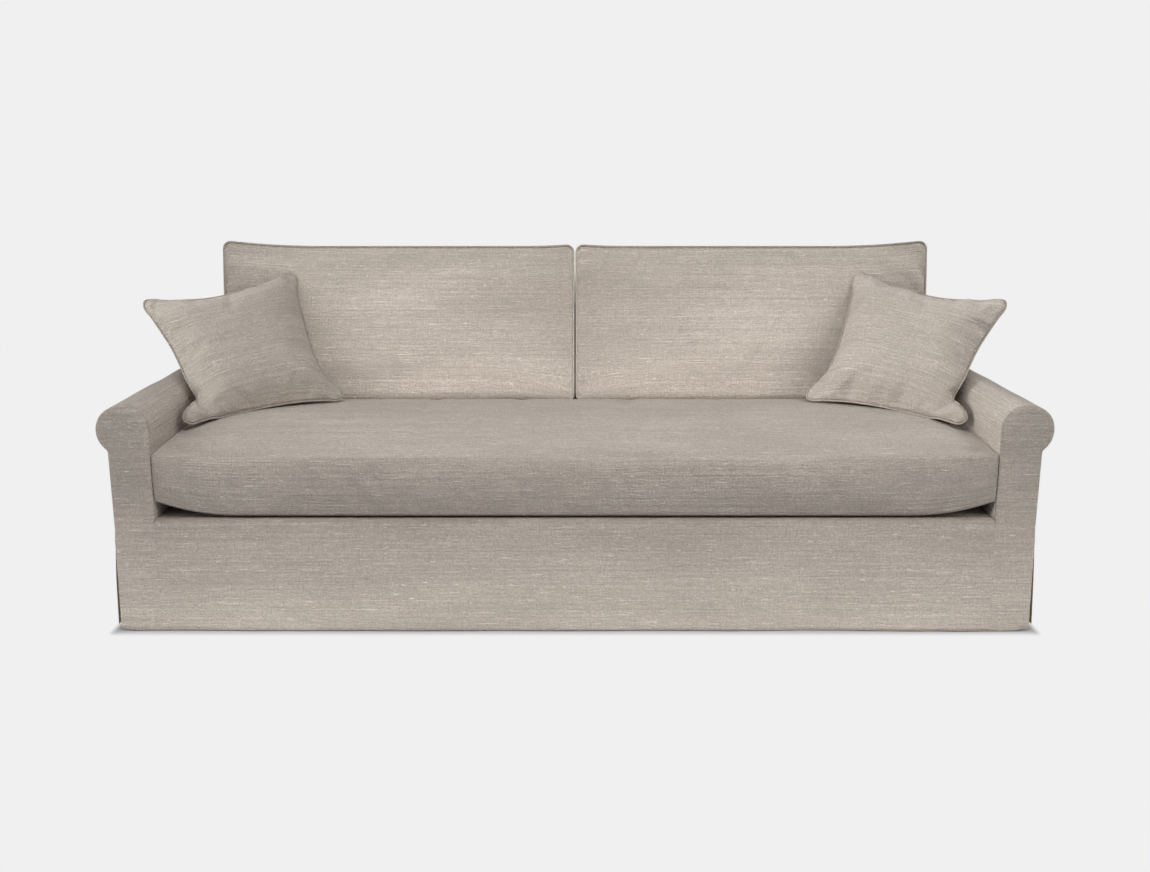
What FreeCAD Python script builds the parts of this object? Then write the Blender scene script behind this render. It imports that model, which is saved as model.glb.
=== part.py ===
import FreeCAD, Part
import math
import os

from FreeCAD import Vector

# A slipcovered sofa with low rolled arms. All lengths are in millimetres and all angles in degrees.
# X runs to the right as seen from the front, Y runs to the back and Z runs up from the floor.
# The origin is on the floor, in the middle of the sofa. Left and right are as seen from the front.

# Body
body_depth = 965.0
seat_opening = 2178.0
arm_thickness = 104.0
arm_height = 602.0
roll_radius = 65.0
roll_underside_round = 10.0
edge_round = 16.0
cloth = 2.0
cloth_gap = 0.3
cut_past = 10.0
same_place = 0.01

# Deck and inside back
deck_height = 300.0
back_foot_thickness = 137.5
deck_build_height = 34.0
deck_edge_round = 15.0
deck_seam_set_back = 42.5
back_lean = 9.0
back_height = 750.0

# Skirt
vent_gap_height = 52.0
hem_height = 8.0
front_flare = 12.0
side_flare = 19.0
corner_flare = 4.0
side_flap_set_back = 20.0
side_flap_hem_set_back = 29.0

# Wooden frame
wood_gap = 4.0
wood_side_gap = 0.5
wood_corner_round = 10.0
rail_thickness = 30.0
rail_height = 86.0
post_thickness = 30.0
arm_board_gap = 21.5
arm_rail_gap_height = 82.0
arm_rail_thickness = 25.0
rear_arm_post_offset = 45.0
back_post_width = 40.0
back_post_spacing = 390.0
back_post_end_gap = 12.0
back_frame_offset = 20.0
back_knee_offset = 40.0
back_rail_thickness = 30.0
back_top_rail_offset = 45.0
back_low_rail_height = 40.0
back_low_rail_thickness = 35.0
back_frame_rear_gap = 4.5
stretcher_width = 60.0
stretcher_height = 45.0
stretcher_spacing = 480.0
stretcher_screw_offset = 18.0
corner_block_leg = 90.0
corner_block_height = 60.0

# Feet and fasteners
foot_size = 85.0
glide_height = 5.0
glide_radius = 15.0
bolt_radius = 4.0
bolt_depth_in_foot = 70.0
bolt_inset = 25.0
bolt_head_across = 13.0
bolt_head_height = 5.5
hole_gap = 0.15
screw_radius = 2.5
screw_length = 70.0
screw_head_radius = 5.0
screw_head_height = 4.0
screw_edge_gap = 20.0

# Springs, webbing and padding
pad_gap = 0.2
spring_count = 10
spring_spacing = 210.0
spring_wire = 4.0
spring_half_width = 25.0
spring_bends = 30
clip_length = 16.0
clip_width = 14.0
clip_height = 10.0
canvas_thickness = 1.0
strap_count = 10
strap_spacing = 220.0
strap_width = 50.0
strap_thickness = 2.0
liner_thickness = 1.0
liner_edge_gap = 12.0

# Seat cushion
seat_side_gap = 2.0
seat_front_set_back = 15.0
seat_front_bulge = 5.0
seat_rear_gap = 7.0
seat_seam_height = 470.0
seat_crown = 45.0
seat_end_crown = 12.0
seat_crown_reach = 190.0
seat_corner_seam_offset = 48.0
seat_middle_seam_offset = 18.0
seat_rear_seam_offset = 32.0
seat_bottom_reach = 150.0
seat_bottom_lift = 36.0
seat_bottom_round = 110.0
boxing_bulge = 7.0
boxing_end_share = 0.4
core_end_gap = 75.0
core_edge_gap = 45.0
core_bottom_gap = 30.0
core_top_gap = 10.0

# Zip on the rear of the seat cushion
zip_length = 1200.0
tape_width = 26.0
tape_thickness = 1.2
coil_width = 6.0
coil_thickness = 1.6
slider_length = 14.0
slider_width = 11.0
slider_thickness = 3.4
slider_wall = 1.2
slider_gap = 0.3
pull_length = 26.0
pull_width = 7.0
pull_thickness = 1.2

# Back cushions
back_cushion_thickness = 160.0
back_cushion_gap_height = 6.5
back_cushion_height = 448.2
back_cushion_split = 0.8
back_cushion_crown = 45.0
back_cushion_end_crown = 0.2
back_cushion_crown_reach = 260.0
outer_ear = 18.0
outer_ear_reach = 300.0
inner_ear = 6.0
inner_ear_reach = 150.0
top_corner_round = 20.0
bottom_corner_round = 15.0
end_bulge = 5.0

# Welts
welt_radius = 2.75
welt_gap = 0.35
welt_out = 0.812
welt_forward = 0.584

# Throw pillows: the left one is placed, and the right one is its mirror image
pillow_side_offset = 132.0
pillow_front_offset = 191.2
pillow_height_offset = 195.6
pillow_turn = 24.8
pillow_tip = 45.0
pillow_roll = 6.0
pillow_foot_width = 434.0
pillow_top_width = 432.0
pillow_skew_offset = 3.0
pillow_foot_height = 219.0
pillow_inner_height = 240.0
pillow_outer_height = 197.0
pillow_thickness = 124.0
pillow_seam = 5.0
pillow_inner_seam = 2.0
pillow_swell_power = 0.6
pillow_draw_in = 16.0
pillow_corner_round = 14.0
pillow_welt_radius = 2.5
sewing_gap = 0.05

# Worked-out places
front_y = -body_depth / 2
back_y = body_depth / 2
inner_x = seat_opening / 2
outer_x = inner_x + arm_thickness
roll_x = inner_x + roll_radius
roll_z = arm_height - roll_radius
deck_depth = body_depth - back_foot_thickness
deck_back_y = front_y + deck_depth
vent_top = deck_height - vent_gap_height
lean = math.radians(back_lean)
wood_front = front_y + cloth + wood_gap
wood_back = back_y - cloth - wood_gap
wood_side = outer_x - cloth - wood_side_gap
rail_top = deck_height - deck_build_height
rail_bottom = rail_top - rail_height
rail_inner_front = wood_front + rail_thickness
rail_inner_back = wood_back - rail_thickness
rail_inner_side = wood_side - rail_thickness
arm_rail_bottom = arm_height - arm_rail_gap_height
rear_arm_post_y = deck_back_y - rear_arm_post_offset
middle_arm_post_y = (wood_front + rear_arm_post_y) / 2
back_knee_height = deck_height + back_knee_offset
back_top_rail_bottom = back_height - back_top_rail_offset
back_post_rear = back_y - back_frame_rear_gap
back_post_end_x = outer_x - cloth - back_post_end_gap
spring_z = rail_top + clip_height / 2
canvas_bottom = rail_top + clip_height
pad_bottom = canvas_bottom + canvas_thickness
deck_seam_y = front_y + deck_seam_set_back
bolt_x = rail_inner_side - bolt_inset
bolt_front_y = rail_inner_front + bolt_inset
bolt_back_y = rail_inner_back - bolt_inset
seat_front_y = front_y + seat_front_set_back
seat_length = deck_depth - seat_front_set_back - seat_rear_gap
seat_rear_y = seat_front_y + seat_length
seat_corner_seam_height = deck_height + seat_corner_seam_offset
seat_middle_seam_height = deck_height + seat_middle_seam_offset
seat_rear_seam_height = deck_height + seat_rear_seam_offset
core_bottom = deck_height + core_bottom_gap
core_top = seat_seam_height - core_top_gap
zip_height = (seat_rear_seam_height + seat_seam_height) / 2
welt_reach = (welt_radius + welt_gap) * welt_out + welt_radius
back_cushion_outer_x = inner_x - seat_side_gap - welt_reach
back_cushion_inner_x = back_cushion_split / 2 + welt_reach
back_cushion_bottom = seat_seam_height - deck_height + back_cushion_gap_height
back_cushion_top = back_cushion_bottom + back_cushion_height
pillow_centre = Vector(
    pillow_side_offset - inner_x,
    deck_back_y - back_cushion_thickness - pillow_front_offset,
    seat_seam_height + pillow_height_offset,
)
pillow_corners = (
    (pillow_skew_offset - pillow_foot_width / 2, -pillow_foot_height),
    (pillow_skew_offset + pillow_foot_width / 2, -pillow_foot_height),
    (pillow_top_width / 2 - pillow_skew_offset, pillow_inner_height),
    (-pillow_top_width / 2 - pillow_skew_offset, pillow_outer_height),
)
# further out than any part of the sofa, for cutting away whole sides
far = body_depth + seat_opening
half_turn = math.sqrt(0.5)


def inside_back_y(z):
    """Y of the inside back's cloth face at height z."""
    return deck_back_y + (z - deck_height) * math.tan(lean)


def box(x0, x1, y0, y1, z0, z1):
    return Part.makeBox(x1 - x0, y1 - y0, z1 - z0, Vector(x0, y0, z0))


def wire_through(start, steps):
    """A wire from start: a point is a straight run to it, and a pair is an arc's middle and end."""
    edges = []
    here = start
    for step in steps:
        if isinstance(step, tuple):
            edges.append(Part.Arc(here, step[0], step[1]).toShape())
            here = step[1]
        else:
            edges.append(Part.LineSegment(here, step).toShape())
            here = step
    return Part.Wire(edges)


def prism_x(points, x0, x1):
    """A closed outline of (y, z) points, drawn out along X."""
    corners = [Vector(x0, y, z) for y, z in points]
    return Part.Face(Part.makePolygon(corners + corners[:1])).extrude(Vector(x1 - x0, 0, 0))


def closed_tube(path, radius, along):
    """A round tube along a closed path, from the path's first point in the direction along."""
    ring = Part.Wire(Part.makeCircle(radius, path.OrderedVertexes[0].Point, along))
    skin = path.makePipeShell([ring], False, False)
    return Part.Solid(Part.Shell(skin.Faces))


def mirrored(shape):
    return shape.mirror(Vector(0, 0, 0), Vector(1, 0, 0))


def ease(distance, reach):
    """0 at an end, rising to 1 at the given reach from it, and level there."""
    share = min(max(distance / reach, 0.0), 1.0)
    return share * (2.0 - share)


def ease_both(distance, reach):
    """0 at an end and 1 at the given reach from it, and level at both."""
    share = min(max(distance / reach, 0.0), 1.0)
    return share * share * (3.0 - 2.0 * share)


def export(name, shape):
    shape.exportStep("parts/" + name + ".step")
    print(name, len(shape.Solids), "solids", round(shape.Volume / 1000.0, 1), "cm3", shape.isValid())


def rounded_outline(solid, radius, y_values, low_z):
    """Rounds a form's edges that lie in the planes y_values, apart from those at its foot."""
    edges = []
    for edge in solid.Edges:
        box_of_edge = edge.BoundBox
        in_plane = any(
            max(abs(box_of_edge.YMin - y), abs(box_of_edge.YMax - y)) < same_place
            for y in y_values
        )
        if in_plane and box_of_edge.ZMax > low_z + same_place:
            edges.append(edge)
    return solid.makeFillet(radius, edges)


# Forms of the body: the arms and the back, at a given depth under the cloth's outer face
def roll_underside(inset):
    """Where the small hollow under the roll has its centre, from the roll's own centre, and its share."""
    hollow = roll_underside_round + inset
    reach = outer_x - inset + hollow - roll_x
    drop = math.sqrt((roll_radius - inset + hollow) ** 2 - reach**2)
    return reach, drop, (roll_radius - inset) / (roll_radius - inset + hollow)


def arm_form(inset):
    """The right arm as a solid whose surface lies inset under the cloth's outer face."""
    inner = inner_x + inset
    outer = outer_x - inset
    radius = roll_radius - inset
    hollow = roll_underside_round + inset
    reach, drop, share = roll_underside(inset)
    y = front_y + inset

    def at(x, z):
        return Vector(x, y, z)

    # the small hollow under the roll, between the outside arm and the roll
    turn_end = math.atan2(drop, -reach)
    turn_middle = (math.pi + turn_end) / 2
    hollow_middle = at(
        outer + hollow + hollow * math.cos(turn_middle), roll_z - drop + hollow * math.sin(turn_middle)
    )
    under_start = at(roll_x + reach * share, roll_z - drop * share)
    low_turn = -math.atan2(drop, reach) / 2
    low_middle = at(roll_x + radius * math.cos(low_turn), roll_z + radius * math.sin(low_turn))
    outline = wire_through(
        at(inner, deck_height),
        [
            at(inner, roll_z),
            (at(roll_x - radius * half_turn, roll_z + radius * half_turn), at(roll_x, roll_z + radius)),
            (at(roll_x + radius * half_turn, roll_z + radius * half_turn), at(roll_x + radius, roll_z)),
            (low_middle, under_start),
            (hollow_middle, at(outer, roll_z - drop)),
            at(outer, deck_height),
            at(inner, deck_height),
        ],
    )
    long = body_depth - 2 * inset
    upper = Part.Face(outline).extrude(Vector(0, long, 0))
    ends = (front_y + inset, back_y - inset)
    upper = rounded_outline(upper, edge_round - inset, ends, deck_height)
    # below the deck only the front, outer and rear walls are wanted, so inner forms run on past it
    past = cut_past if inset else 0.0
    lower = box(inner_x - past, outer, ends[0], ends[1], vent_top - past, deck_height)
    corners = [
        edge
        for edge in lower.Edges
        if abs(edge.BoundBox.XMin - outer) < same_place and edge.BoundBox.ZLength > cloth
    ]
    return upper.fuse(lower.makeFillet(edge_round - inset, corners))


def back_form(inset):
    """The back from arm to arm as a solid whose surface lies inset under the cloth's outer face."""
    foot = vent_top - (cut_past if inset else 0.0)
    shift = inset / math.cos(lean)
    top = back_height - inset
    outline = [
        (inside_back_y(foot) + shift, foot),
        (inside_back_y(top) + shift, top),
        (back_y - inset, top),
        (back_y - inset, foot),
    ]
    half = outer_x - inset
    slab = prism_x(outline, -half, half)
    edges = [edge for edge in slab.Edges if edge.BoundBox.ZMax > foot + same_place]
    return slab.makeFillet(edge_round - inset, edges)


# Slipcover
def flap(top, bottom):
    """A thin hanging panel between two rectangles, each (x0, x1, y0, y1, z)."""
    rims = []
    for x0, x1, y0, y1, z in (top, bottom):
        corners = [Vector(x0, y0, z), Vector(x1, y0, z), Vector(x1, y1, z), Vector(x0, y1, z)]
        rims.append(Part.makePolygon(corners + corners[:1]))
    return Part.makeLoft(rims, True, True)


def front_panel():
    """Falls from the deck seam over the front edge down to the hem, between the two arm fronts."""
    def at(y, z):
        return Vector(-inner_x, y, z)

    turn_y = front_y + deck_edge_round
    turn_z = deck_height - deck_edge_round
    inner_round = deck_edge_round - cloth
    outline = wire_through(
        at(deck_seam_y, deck_height),
        [
            at(turn_y, deck_height),
            (
                at(turn_y - deck_edge_round * half_turn, turn_z + deck_edge_round * half_turn),
                at(front_y, turn_z),
            ),
            at(front_y, vent_top),
            at(front_y - front_flare, hem_height),
            at(front_y - front_flare + cloth, hem_height),
            at(front_y + cloth, vent_top),
            at(front_y + cloth, turn_z),
            (
                at(turn_y - inner_round * half_turn, turn_z + inner_round * half_turn),
                at(turn_y, deck_height - cloth),
            ),
            at(deck_seam_y, deck_height - cloth),
            at(deck_seam_y, deck_height),
        ],
    )
    return Part.Face(outline).extrude(Vector(2 * inner_x, 0, 0))


def slipcover():
    """The body's cover as separate sewn panels, by name."""
    arm = arm_form(0.0)
    arm_hollow = arm_form(cloth)
    back = back_form(0.0)
    whole = back.fuse([arm, mirrored(arm)])
    hollow = back_form(cloth).fuse([arm_hollow, mirrored(arm_hollow)])
    shell = whole.cut(hollow)

    front_seam = front_y + edge_round
    rear_seam = back_y - edge_round
    front_part = shell.common(box(0, far, front_y - 1, front_seam, 0, far))
    rear_part = shell.common(box(-far, far, rear_seam, back_y + 1, 0, far))
    middle = shell.common(box(-far, far, front_seam, rear_seam, 0, far))
    drop, share = roll_underside(0.0)[1:]
    arm_seam = roll_z - drop * share
    side_zone = box(outer_x - cloth - wood_side_gap, far, front_seam, rear_seam, 0, arm_seam)
    side_part = middle.common(side_zone)
    above = box(-far, far, front_y, back_y, deck_height, far)
    rest = middle.common(above).cut([side_zone, mirrored(side_zone)])
    inside_back = rest.common(back)
    arm_cover = rest.common(box(0, far, front_y, back_y, 0, far)).cut(back)

    hem_y = front_y - front_flare
    arm_flap = flap(
        (inner_x, outer_x, front_y, front_y + cloth, vent_top),
        (inner_x, outer_x + corner_flare, hem_y, hem_y + cloth, hem_height),
    )
    side_top = front_y + side_flap_set_back
    side_hem = front_y + side_flap_hem_set_back
    hem_x = outer_x + side_flare
    side_flap = flap(
        (outer_x - cloth, outer_x, side_top, -side_top, vent_top),
        (hem_x - cloth, hem_x, side_hem, -side_hem, hem_height),
    )
    rear_hem = back_y + front_flare
    corner_x = outer_x + corner_flare
    rear_flap = flap(
        (-outer_x, outer_x, back_y - cloth, back_y, vent_top),
        (-corner_x, corner_x, rear_hem - cloth, rear_hem, hem_height),
    )
    arm_front = front_part.fuse(arm_flap).removeSplitter()
    side = side_part.fuse(side_flap).removeSplitter()
    return {
        "front_panel": front_panel(),
        "right_arm_front_panel": arm_front,
        "left_arm_front_panel": mirrored(arm_front),
        "right_arm_cover": arm_cover,
        "left_arm_cover": mirrored(arm_cover),
        "right_side_panel": side,
        "left_side_panel": mirrored(side),
        "inside_back_cover": inside_back,
        "outside_back_panel": rear_part.fuse(rear_flap).removeSplitter(),
        "deck_cover": box(
            -inner_x - cloth, inner_x + cloth, deck_seam_y, deck_back_y,
            deck_height - cloth, deck_height,
        ),
    }


# Wooden frame
def rounded_corners(board, y):
    """A board whose upright outer edges at y are rounded to sit inside the cover's rounded corner."""
    edges = []
    for edge in board.Edges:
        span = edge.BoundBox
        side_gap = abs(abs(span.Center.x) - wood_side)
        if max(side_gap, abs(span.Center.y - y)) < same_place and span.ZLength > cloth:
            edges.append(edge)
    return board.makeFillet(wood_corner_round, edges)


def hole(x, y, z0, z1, radius):
    return Part.makeCylinder(radius, z1 - z0, Vector(x, y, z0))


def screws_and_holes():
    """Screws through the front and back rails into the side rails and stretchers, with their holes."""
    places = []
    for x in (-wood_side + rail_thickness / 2, wood_side - rail_thickness / 2):
        for z in (rail_bottom + screw_edge_gap, rail_top - screw_edge_gap):
            places.append((x, z))
    for x in (-stretcher_spacing, 0.0, stretcher_spacing):
        places.append((x + stretcher_screw_offset, rail_bottom + stretcher_height / 2))
    screws = []
    holes = []
    for x, z in places:
        for y, way in ((wood_front, 1), (wood_back, -1)):
            along = Vector(0, way, 0)
            start = Vector(x, y, z)
            head = Part.makeCylinder(screw_head_radius, screw_head_height, start, along)
            shank = Part.makeCylinder(screw_radius, screw_length, start, along)
            screws.append(head.fuse(shank).removeSplitter())
            head_hole = Part.makeCylinder(
                screw_head_radius + hole_gap, screw_head_height, start, along
            )
            shank_hole = Part.makeCylinder(
                screw_radius + hole_gap, screw_length + hole_gap, start, along
            )
            holes.append(head_hole.fuse(shank_hole))
    return screws, holes


def bolt_places():
    """The (x, y, top) of each foot's bolt: four in the corner blocks and two in the middle stretcher."""
    block_top = rail_bottom + corner_block_height
    stretcher_top = rail_bottom + stretcher_height
    places = [(x, y, block_top) for x in (-bolt_x, bolt_x) for y in (bolt_front_y, bolt_back_y)]
    places += [(0.0, y, stretcher_top) for y in (bolt_front_y, bolt_back_y)]
    return places


def base_frame():
    screws, screw_holes = screws_and_holes()
    bolt_foot = rail_bottom - bolt_depth_in_foot
    bolts = []
    bolt_holes = []
    head_radius = bolt_head_across / 2 / math.cos(math.pi / 6)
    turns = [math.pi / 3 * k for k in range(7)]
    for x, y, top in bolt_places():
        corners = [
            Vector(x + head_radius * math.cos(turn), y + head_radius * math.sin(turn), top)
            for turn in turns
        ]
        head = Part.Face(Part.makePolygon(corners)).extrude(Vector(0, 0, bolt_head_height))
        bolts.append(head.fuse(hole(x, y, bolt_foot, top, bolt_radius)).removeSplitter())
        bolt_holes.append(hole(x, y, bolt_foot, top + 1, bolt_radius + hole_gap))

    front_rail = box(-wood_side, wood_side, wood_front, rail_inner_front, rail_bottom, rail_top)
    front_rail = rounded_corners(front_rail, wood_front)
    back_rail = box(-wood_side, wood_side, rail_inner_back, wood_back, rail_bottom, rail_top)
    back_rail = rounded_corners(back_rail, wood_back)
    side_rail = box(
        rail_inner_side, wood_side, rail_inner_front, rail_inner_back, rail_bottom, rail_top
    )
    stretchers = []
    for x in (-stretcher_spacing, 0.0, stretcher_spacing):
        bar = box(
            x - stretcher_width / 2, x + stretcher_width / 2, rail_inner_front, rail_inner_back,
            rail_bottom, rail_bottom + stretcher_height,
        )
        stretchers.append(bar.cut(screw_holes + bolt_holes))
    blocks = []
    for side in (-1, 1):
        for y, way in ((rail_inner_front, 1), (rail_inner_back, -1)):
            corner = Vector(side * rail_inner_side, y, rail_bottom)
            block = Part.Face(
                Part.makePolygon(
                    [
                        corner,
                        corner + Vector(-side * corner_block_leg, 0, 0),
                        corner + Vector(0, way * corner_block_leg, 0),
                        corner,
                    ]
                )
            ).extrude(Vector(0, 0, corner_block_height))
            blocks.append(block.cut(bolt_holes))
    feet = []
    glides = []
    for x, x0 in ((-1, -wood_side), (0, -foot_size / 2), (1, wood_side - foot_size)):
        for y0 in (wood_front, wood_back - foot_size):
            foot = box(x0, x0 + foot_size, y0, y0 + foot_size, glide_height, rail_bottom)
            feet.append(foot.cut(bolt_holes))
            centre = Vector(x0 + foot_size / 2, y0 + foot_size / 2, 0)
            glides.append(Part.makeCylinder(glide_radius, glide_height, centre))
    dust_cover = box(
        -wood_side, wood_side, wood_front, wood_back, rail_bottom - liner_thickness, rail_bottom
    )
    dust_cover = dust_cover.cut(
        [
            box(
                x0 - cloth_gap, x0 + foot_size + cloth_gap, y0 - cloth_gap, y0 + foot_size + cloth_gap,
                rail_bottom - 2 * liner_thickness, rail_bottom + liner_thickness,
            )
            for x0 in (-wood_side, -foot_size / 2, wood_side - foot_size)
            for y0 in (wood_front, wood_back - foot_size)
        ]
    )
    return {
        "front_rail": front_rail.cut(screw_holes),
        "back_rail": back_rail.cut(screw_holes),
        "right_side_rail": side_rail.cut(screw_holes),
        "left_side_rail": mirrored(side_rail).cut(screw_holes),
        "deck_stretchers": Part.makeCompound(stretchers),
        "corner_blocks": Part.makeCompound(blocks),
        "feet": Part.makeCompound(feet),
        "foot_glides": Part.makeCompound(glides),
        "foot_bolts": Part.makeCompound(bolts),
        "frame_screws": Part.makeCompound(screws),
        "dust_cover": dust_cover,
    }


def arm_frame():
    """The right arm's boards and top rail, and the pad that goes over them."""
    board_inner = inner_x + cloth + arm_board_gap
    boards = [
        box(board_inner, wood_side, y, y + post_thickness, rail_top, arm_rail_bottom)
        for y in (wood_front, middle_arm_post_y, rear_arm_post_y)
    ]
    boards[0] = rounded_corners(boards[0], wood_front)
    rail_end = inside_back_y(arm_rail_bottom) + back_frame_offset
    rail_top_z = arm_rail_bottom + arm_rail_thickness
    top_rail = box(board_inner, wood_side, wood_front, rail_end, arm_rail_bottom, rail_top_z)
    pad = arm_form(cloth + cloth_gap)
    pad = pad.cut(
        [
            box(-far, far, -far, far, 0, deck_height + cloth_gap),
            box(board_inner, wood_side + pad_gap, -far, far, 0, arm_rail_bottom),
            box(board_inner, wood_side + pad_gap, -far, rail_end, 0, rail_top_z),
            back_form(0.0),
        ]
    )
    pad = max(pad.Solids, key=lambda piece: piece.Volume)
    return Part.makeCompound(boards), top_rail, pad


def back_frame():
    """Posts, rails, straps, pad and liner inside the back."""
    def frame_y(z):
        return inside_back_y(z) + back_frame_offset

    post_outline = [
        (rail_inner_back, rail_top),
        (frame_y(back_knee_height), back_knee_height),
        (frame_y(back_top_rail_bottom), back_top_rail_bottom),
        (back_post_rear, back_top_rail_bottom),
        (back_post_rear, rail_top),
    ]
    centres = [
        -back_post_end_x + back_post_width / 2, -back_post_spacing,
        back_post_spacing, back_post_end_x - back_post_width / 2,
    ]
    half = back_post_width / 2
    posts = [prism_x(post_outline, x - half, x + half) for x in centres]
    rail_top_z = back_top_rail_bottom + back_rail_thickness
    top_rail = prism_x(
        [
            (frame_y(back_top_rail_bottom), back_top_rail_bottom),
            (frame_y(rail_top_z), rail_top_z),
            (back_post_rear, rail_top_z),
            (back_post_rear, back_top_rail_bottom),
        ],
        -back_post_end_x, back_post_end_x,
    )
    low_rail_top = back_knee_height + back_low_rail_height
    low_outline = [
        (frame_y(back_knee_height), back_knee_height),
        (frame_y(low_rail_top), low_rail_top),
        (frame_y(low_rail_top) + back_low_rail_thickness, low_rail_top),
        (frame_y(back_knee_height) + back_low_rail_thickness, back_knee_height),
    ]
    low_rails = [
        prism_x(low_outline, centres[k] + half, centres[k + 1] - half) for k in range(3)
    ]
    strap_shift = strap_thickness / math.cos(lean)
    strap_outline = [
        (frame_y(back_knee_height) - strap_shift, back_knee_height),
        (frame_y(rail_top_z) - strap_shift, rail_top_z),
        (frame_y(rail_top_z), rail_top_z),
        (frame_y(back_knee_height), back_knee_height),
    ]
    first = -strap_spacing * (strap_count - 1) / 2
    straps = [
        prism_x(
            strap_outline,
            first + k * strap_spacing - strap_width / 2, first + k * strap_spacing + strap_width / 2,
        )
        for k in range(strap_count)
    ]
    pad_foot = deck_height + cloth_gap
    pad_back = [
        (frame_y(0.0) - strap_shift, 0.0),
        (frame_y(rail_top_z) - strap_shift, rail_top_z),
        (far, rail_top_z),
        (far, 0.0),
    ]
    arm = arm_form(0.0)
    pad = back_form(cloth + cloth_gap).cut(
        [prism_x(pad_back, -far, far), box(-far, far, -far, far, 0, pad_foot), arm, mirrored(arm)]
    )
    liner = box(
        -back_post_end_x, back_post_end_x, back_post_rear, back_post_rear + liner_thickness,
        rail_top + liner_edge_gap, rail_top_z,
    )
    return {
        "back_posts": Part.makeCompound(posts),
        "back_top_rail": top_rail,
        "back_low_rails": Part.makeCompound(low_rails),
        "back_webbing": Part.makeCompound(straps),
        "inside_back_pad": pad,
        "back_liner": liner,
    }


# Deck springs and padding
def spring(x):
    """One flat zigzag spring from the front rail to the back rail."""
    start_y = wood_front + rail_thickness / 2
    pitch = (wood_back - rail_thickness / 2 - start_y) / spring_bends
    bend = pitch / 2
    run = spring_half_width - bend
    steps = []
    way = 1
    for k in range(spring_bends + 1):
        y = start_y + k * pitch
        steps.append(Vector(x + way * run, y, spring_z))
        if k < spring_bends:
            steps.append(
                (
                    Vector(x + way * (run + bend), y + bend, spring_z),
                    Vector(x + way * run, y + pitch, spring_z),
                )
            )
        way = -way
    path = wire_through(Vector(x - run, start_y, spring_z), steps)
    ring = Part.Wire(
        Part.makeCircle(spring_wire / 2, Vector(x - run, start_y, spring_z), Vector(1, 0, 0))
    )
    return path.makePipeShell([ring], True, False)


def deck_inside():
    first = -spring_spacing * (spring_count - 1) / 2
    master = spring(0.0)
    springs = []
    clips = []
    for k in range(spring_count):
        x = first + k * spring_spacing
        copy = master.copy()
        copy.translate(Vector(x, 0, 0))
        springs.append(copy)
        for y in (wood_front + rail_thickness / 2, wood_back - rail_thickness / 2):
            clip = box(
                x - clip_length / 2, x + clip_length / 2, y - clip_width / 2, y + clip_width / 2,
                rail_top, rail_top + clip_height,
            )
            groove = Part.makeCylinder(
                spring_wire / 2 + hole_gap, 2 * clip_length, Vector(x - clip_length, y, spring_z),
                Vector(1, 0, 0),
            )
            clips.append(clip.cut(groove))
    edge = inner_x - seat_side_gap
    pad_top = deck_height - cloth - cloth_gap
    canvas = box(-edge, edge, wood_front, deck_back_y, canvas_bottom, pad_bottom)
    pad = box(-edge, edge, deck_seam_y, deck_back_y, pad_bottom, pad_top)
    nose_y = front_y + cloth + cloth_gap
    nose_round = deck_edge_round - cloth - cloth_gap

    def at(y, z):
        return Vector(-edge, y, z)

    turn = (nose_y + nose_round, pad_top - nose_round)
    roll = wire_through(
        at(deck_seam_y, pad_bottom),
        [
            at(deck_seam_y, pad_top),
            at(turn[0], pad_top),
            (
                at(turn[0] - nose_round * half_turn, turn[1] + nose_round * half_turn),
                at(nose_y, turn[1]),
            ),
            at(nose_y, pad_bottom),
            at(deck_seam_y, pad_bottom),
        ],
    )
    return {
        "seat_springs": Part.makeCompound(springs),
        "spring_clips": Part.makeCompound(clips),
        "deck_canvas": canvas,
        "deck_pad": pad,
        "front_edge_roll": Part.Face(roll).extrude(Vector(2 * edge, 0, 0)),
    }


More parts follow.
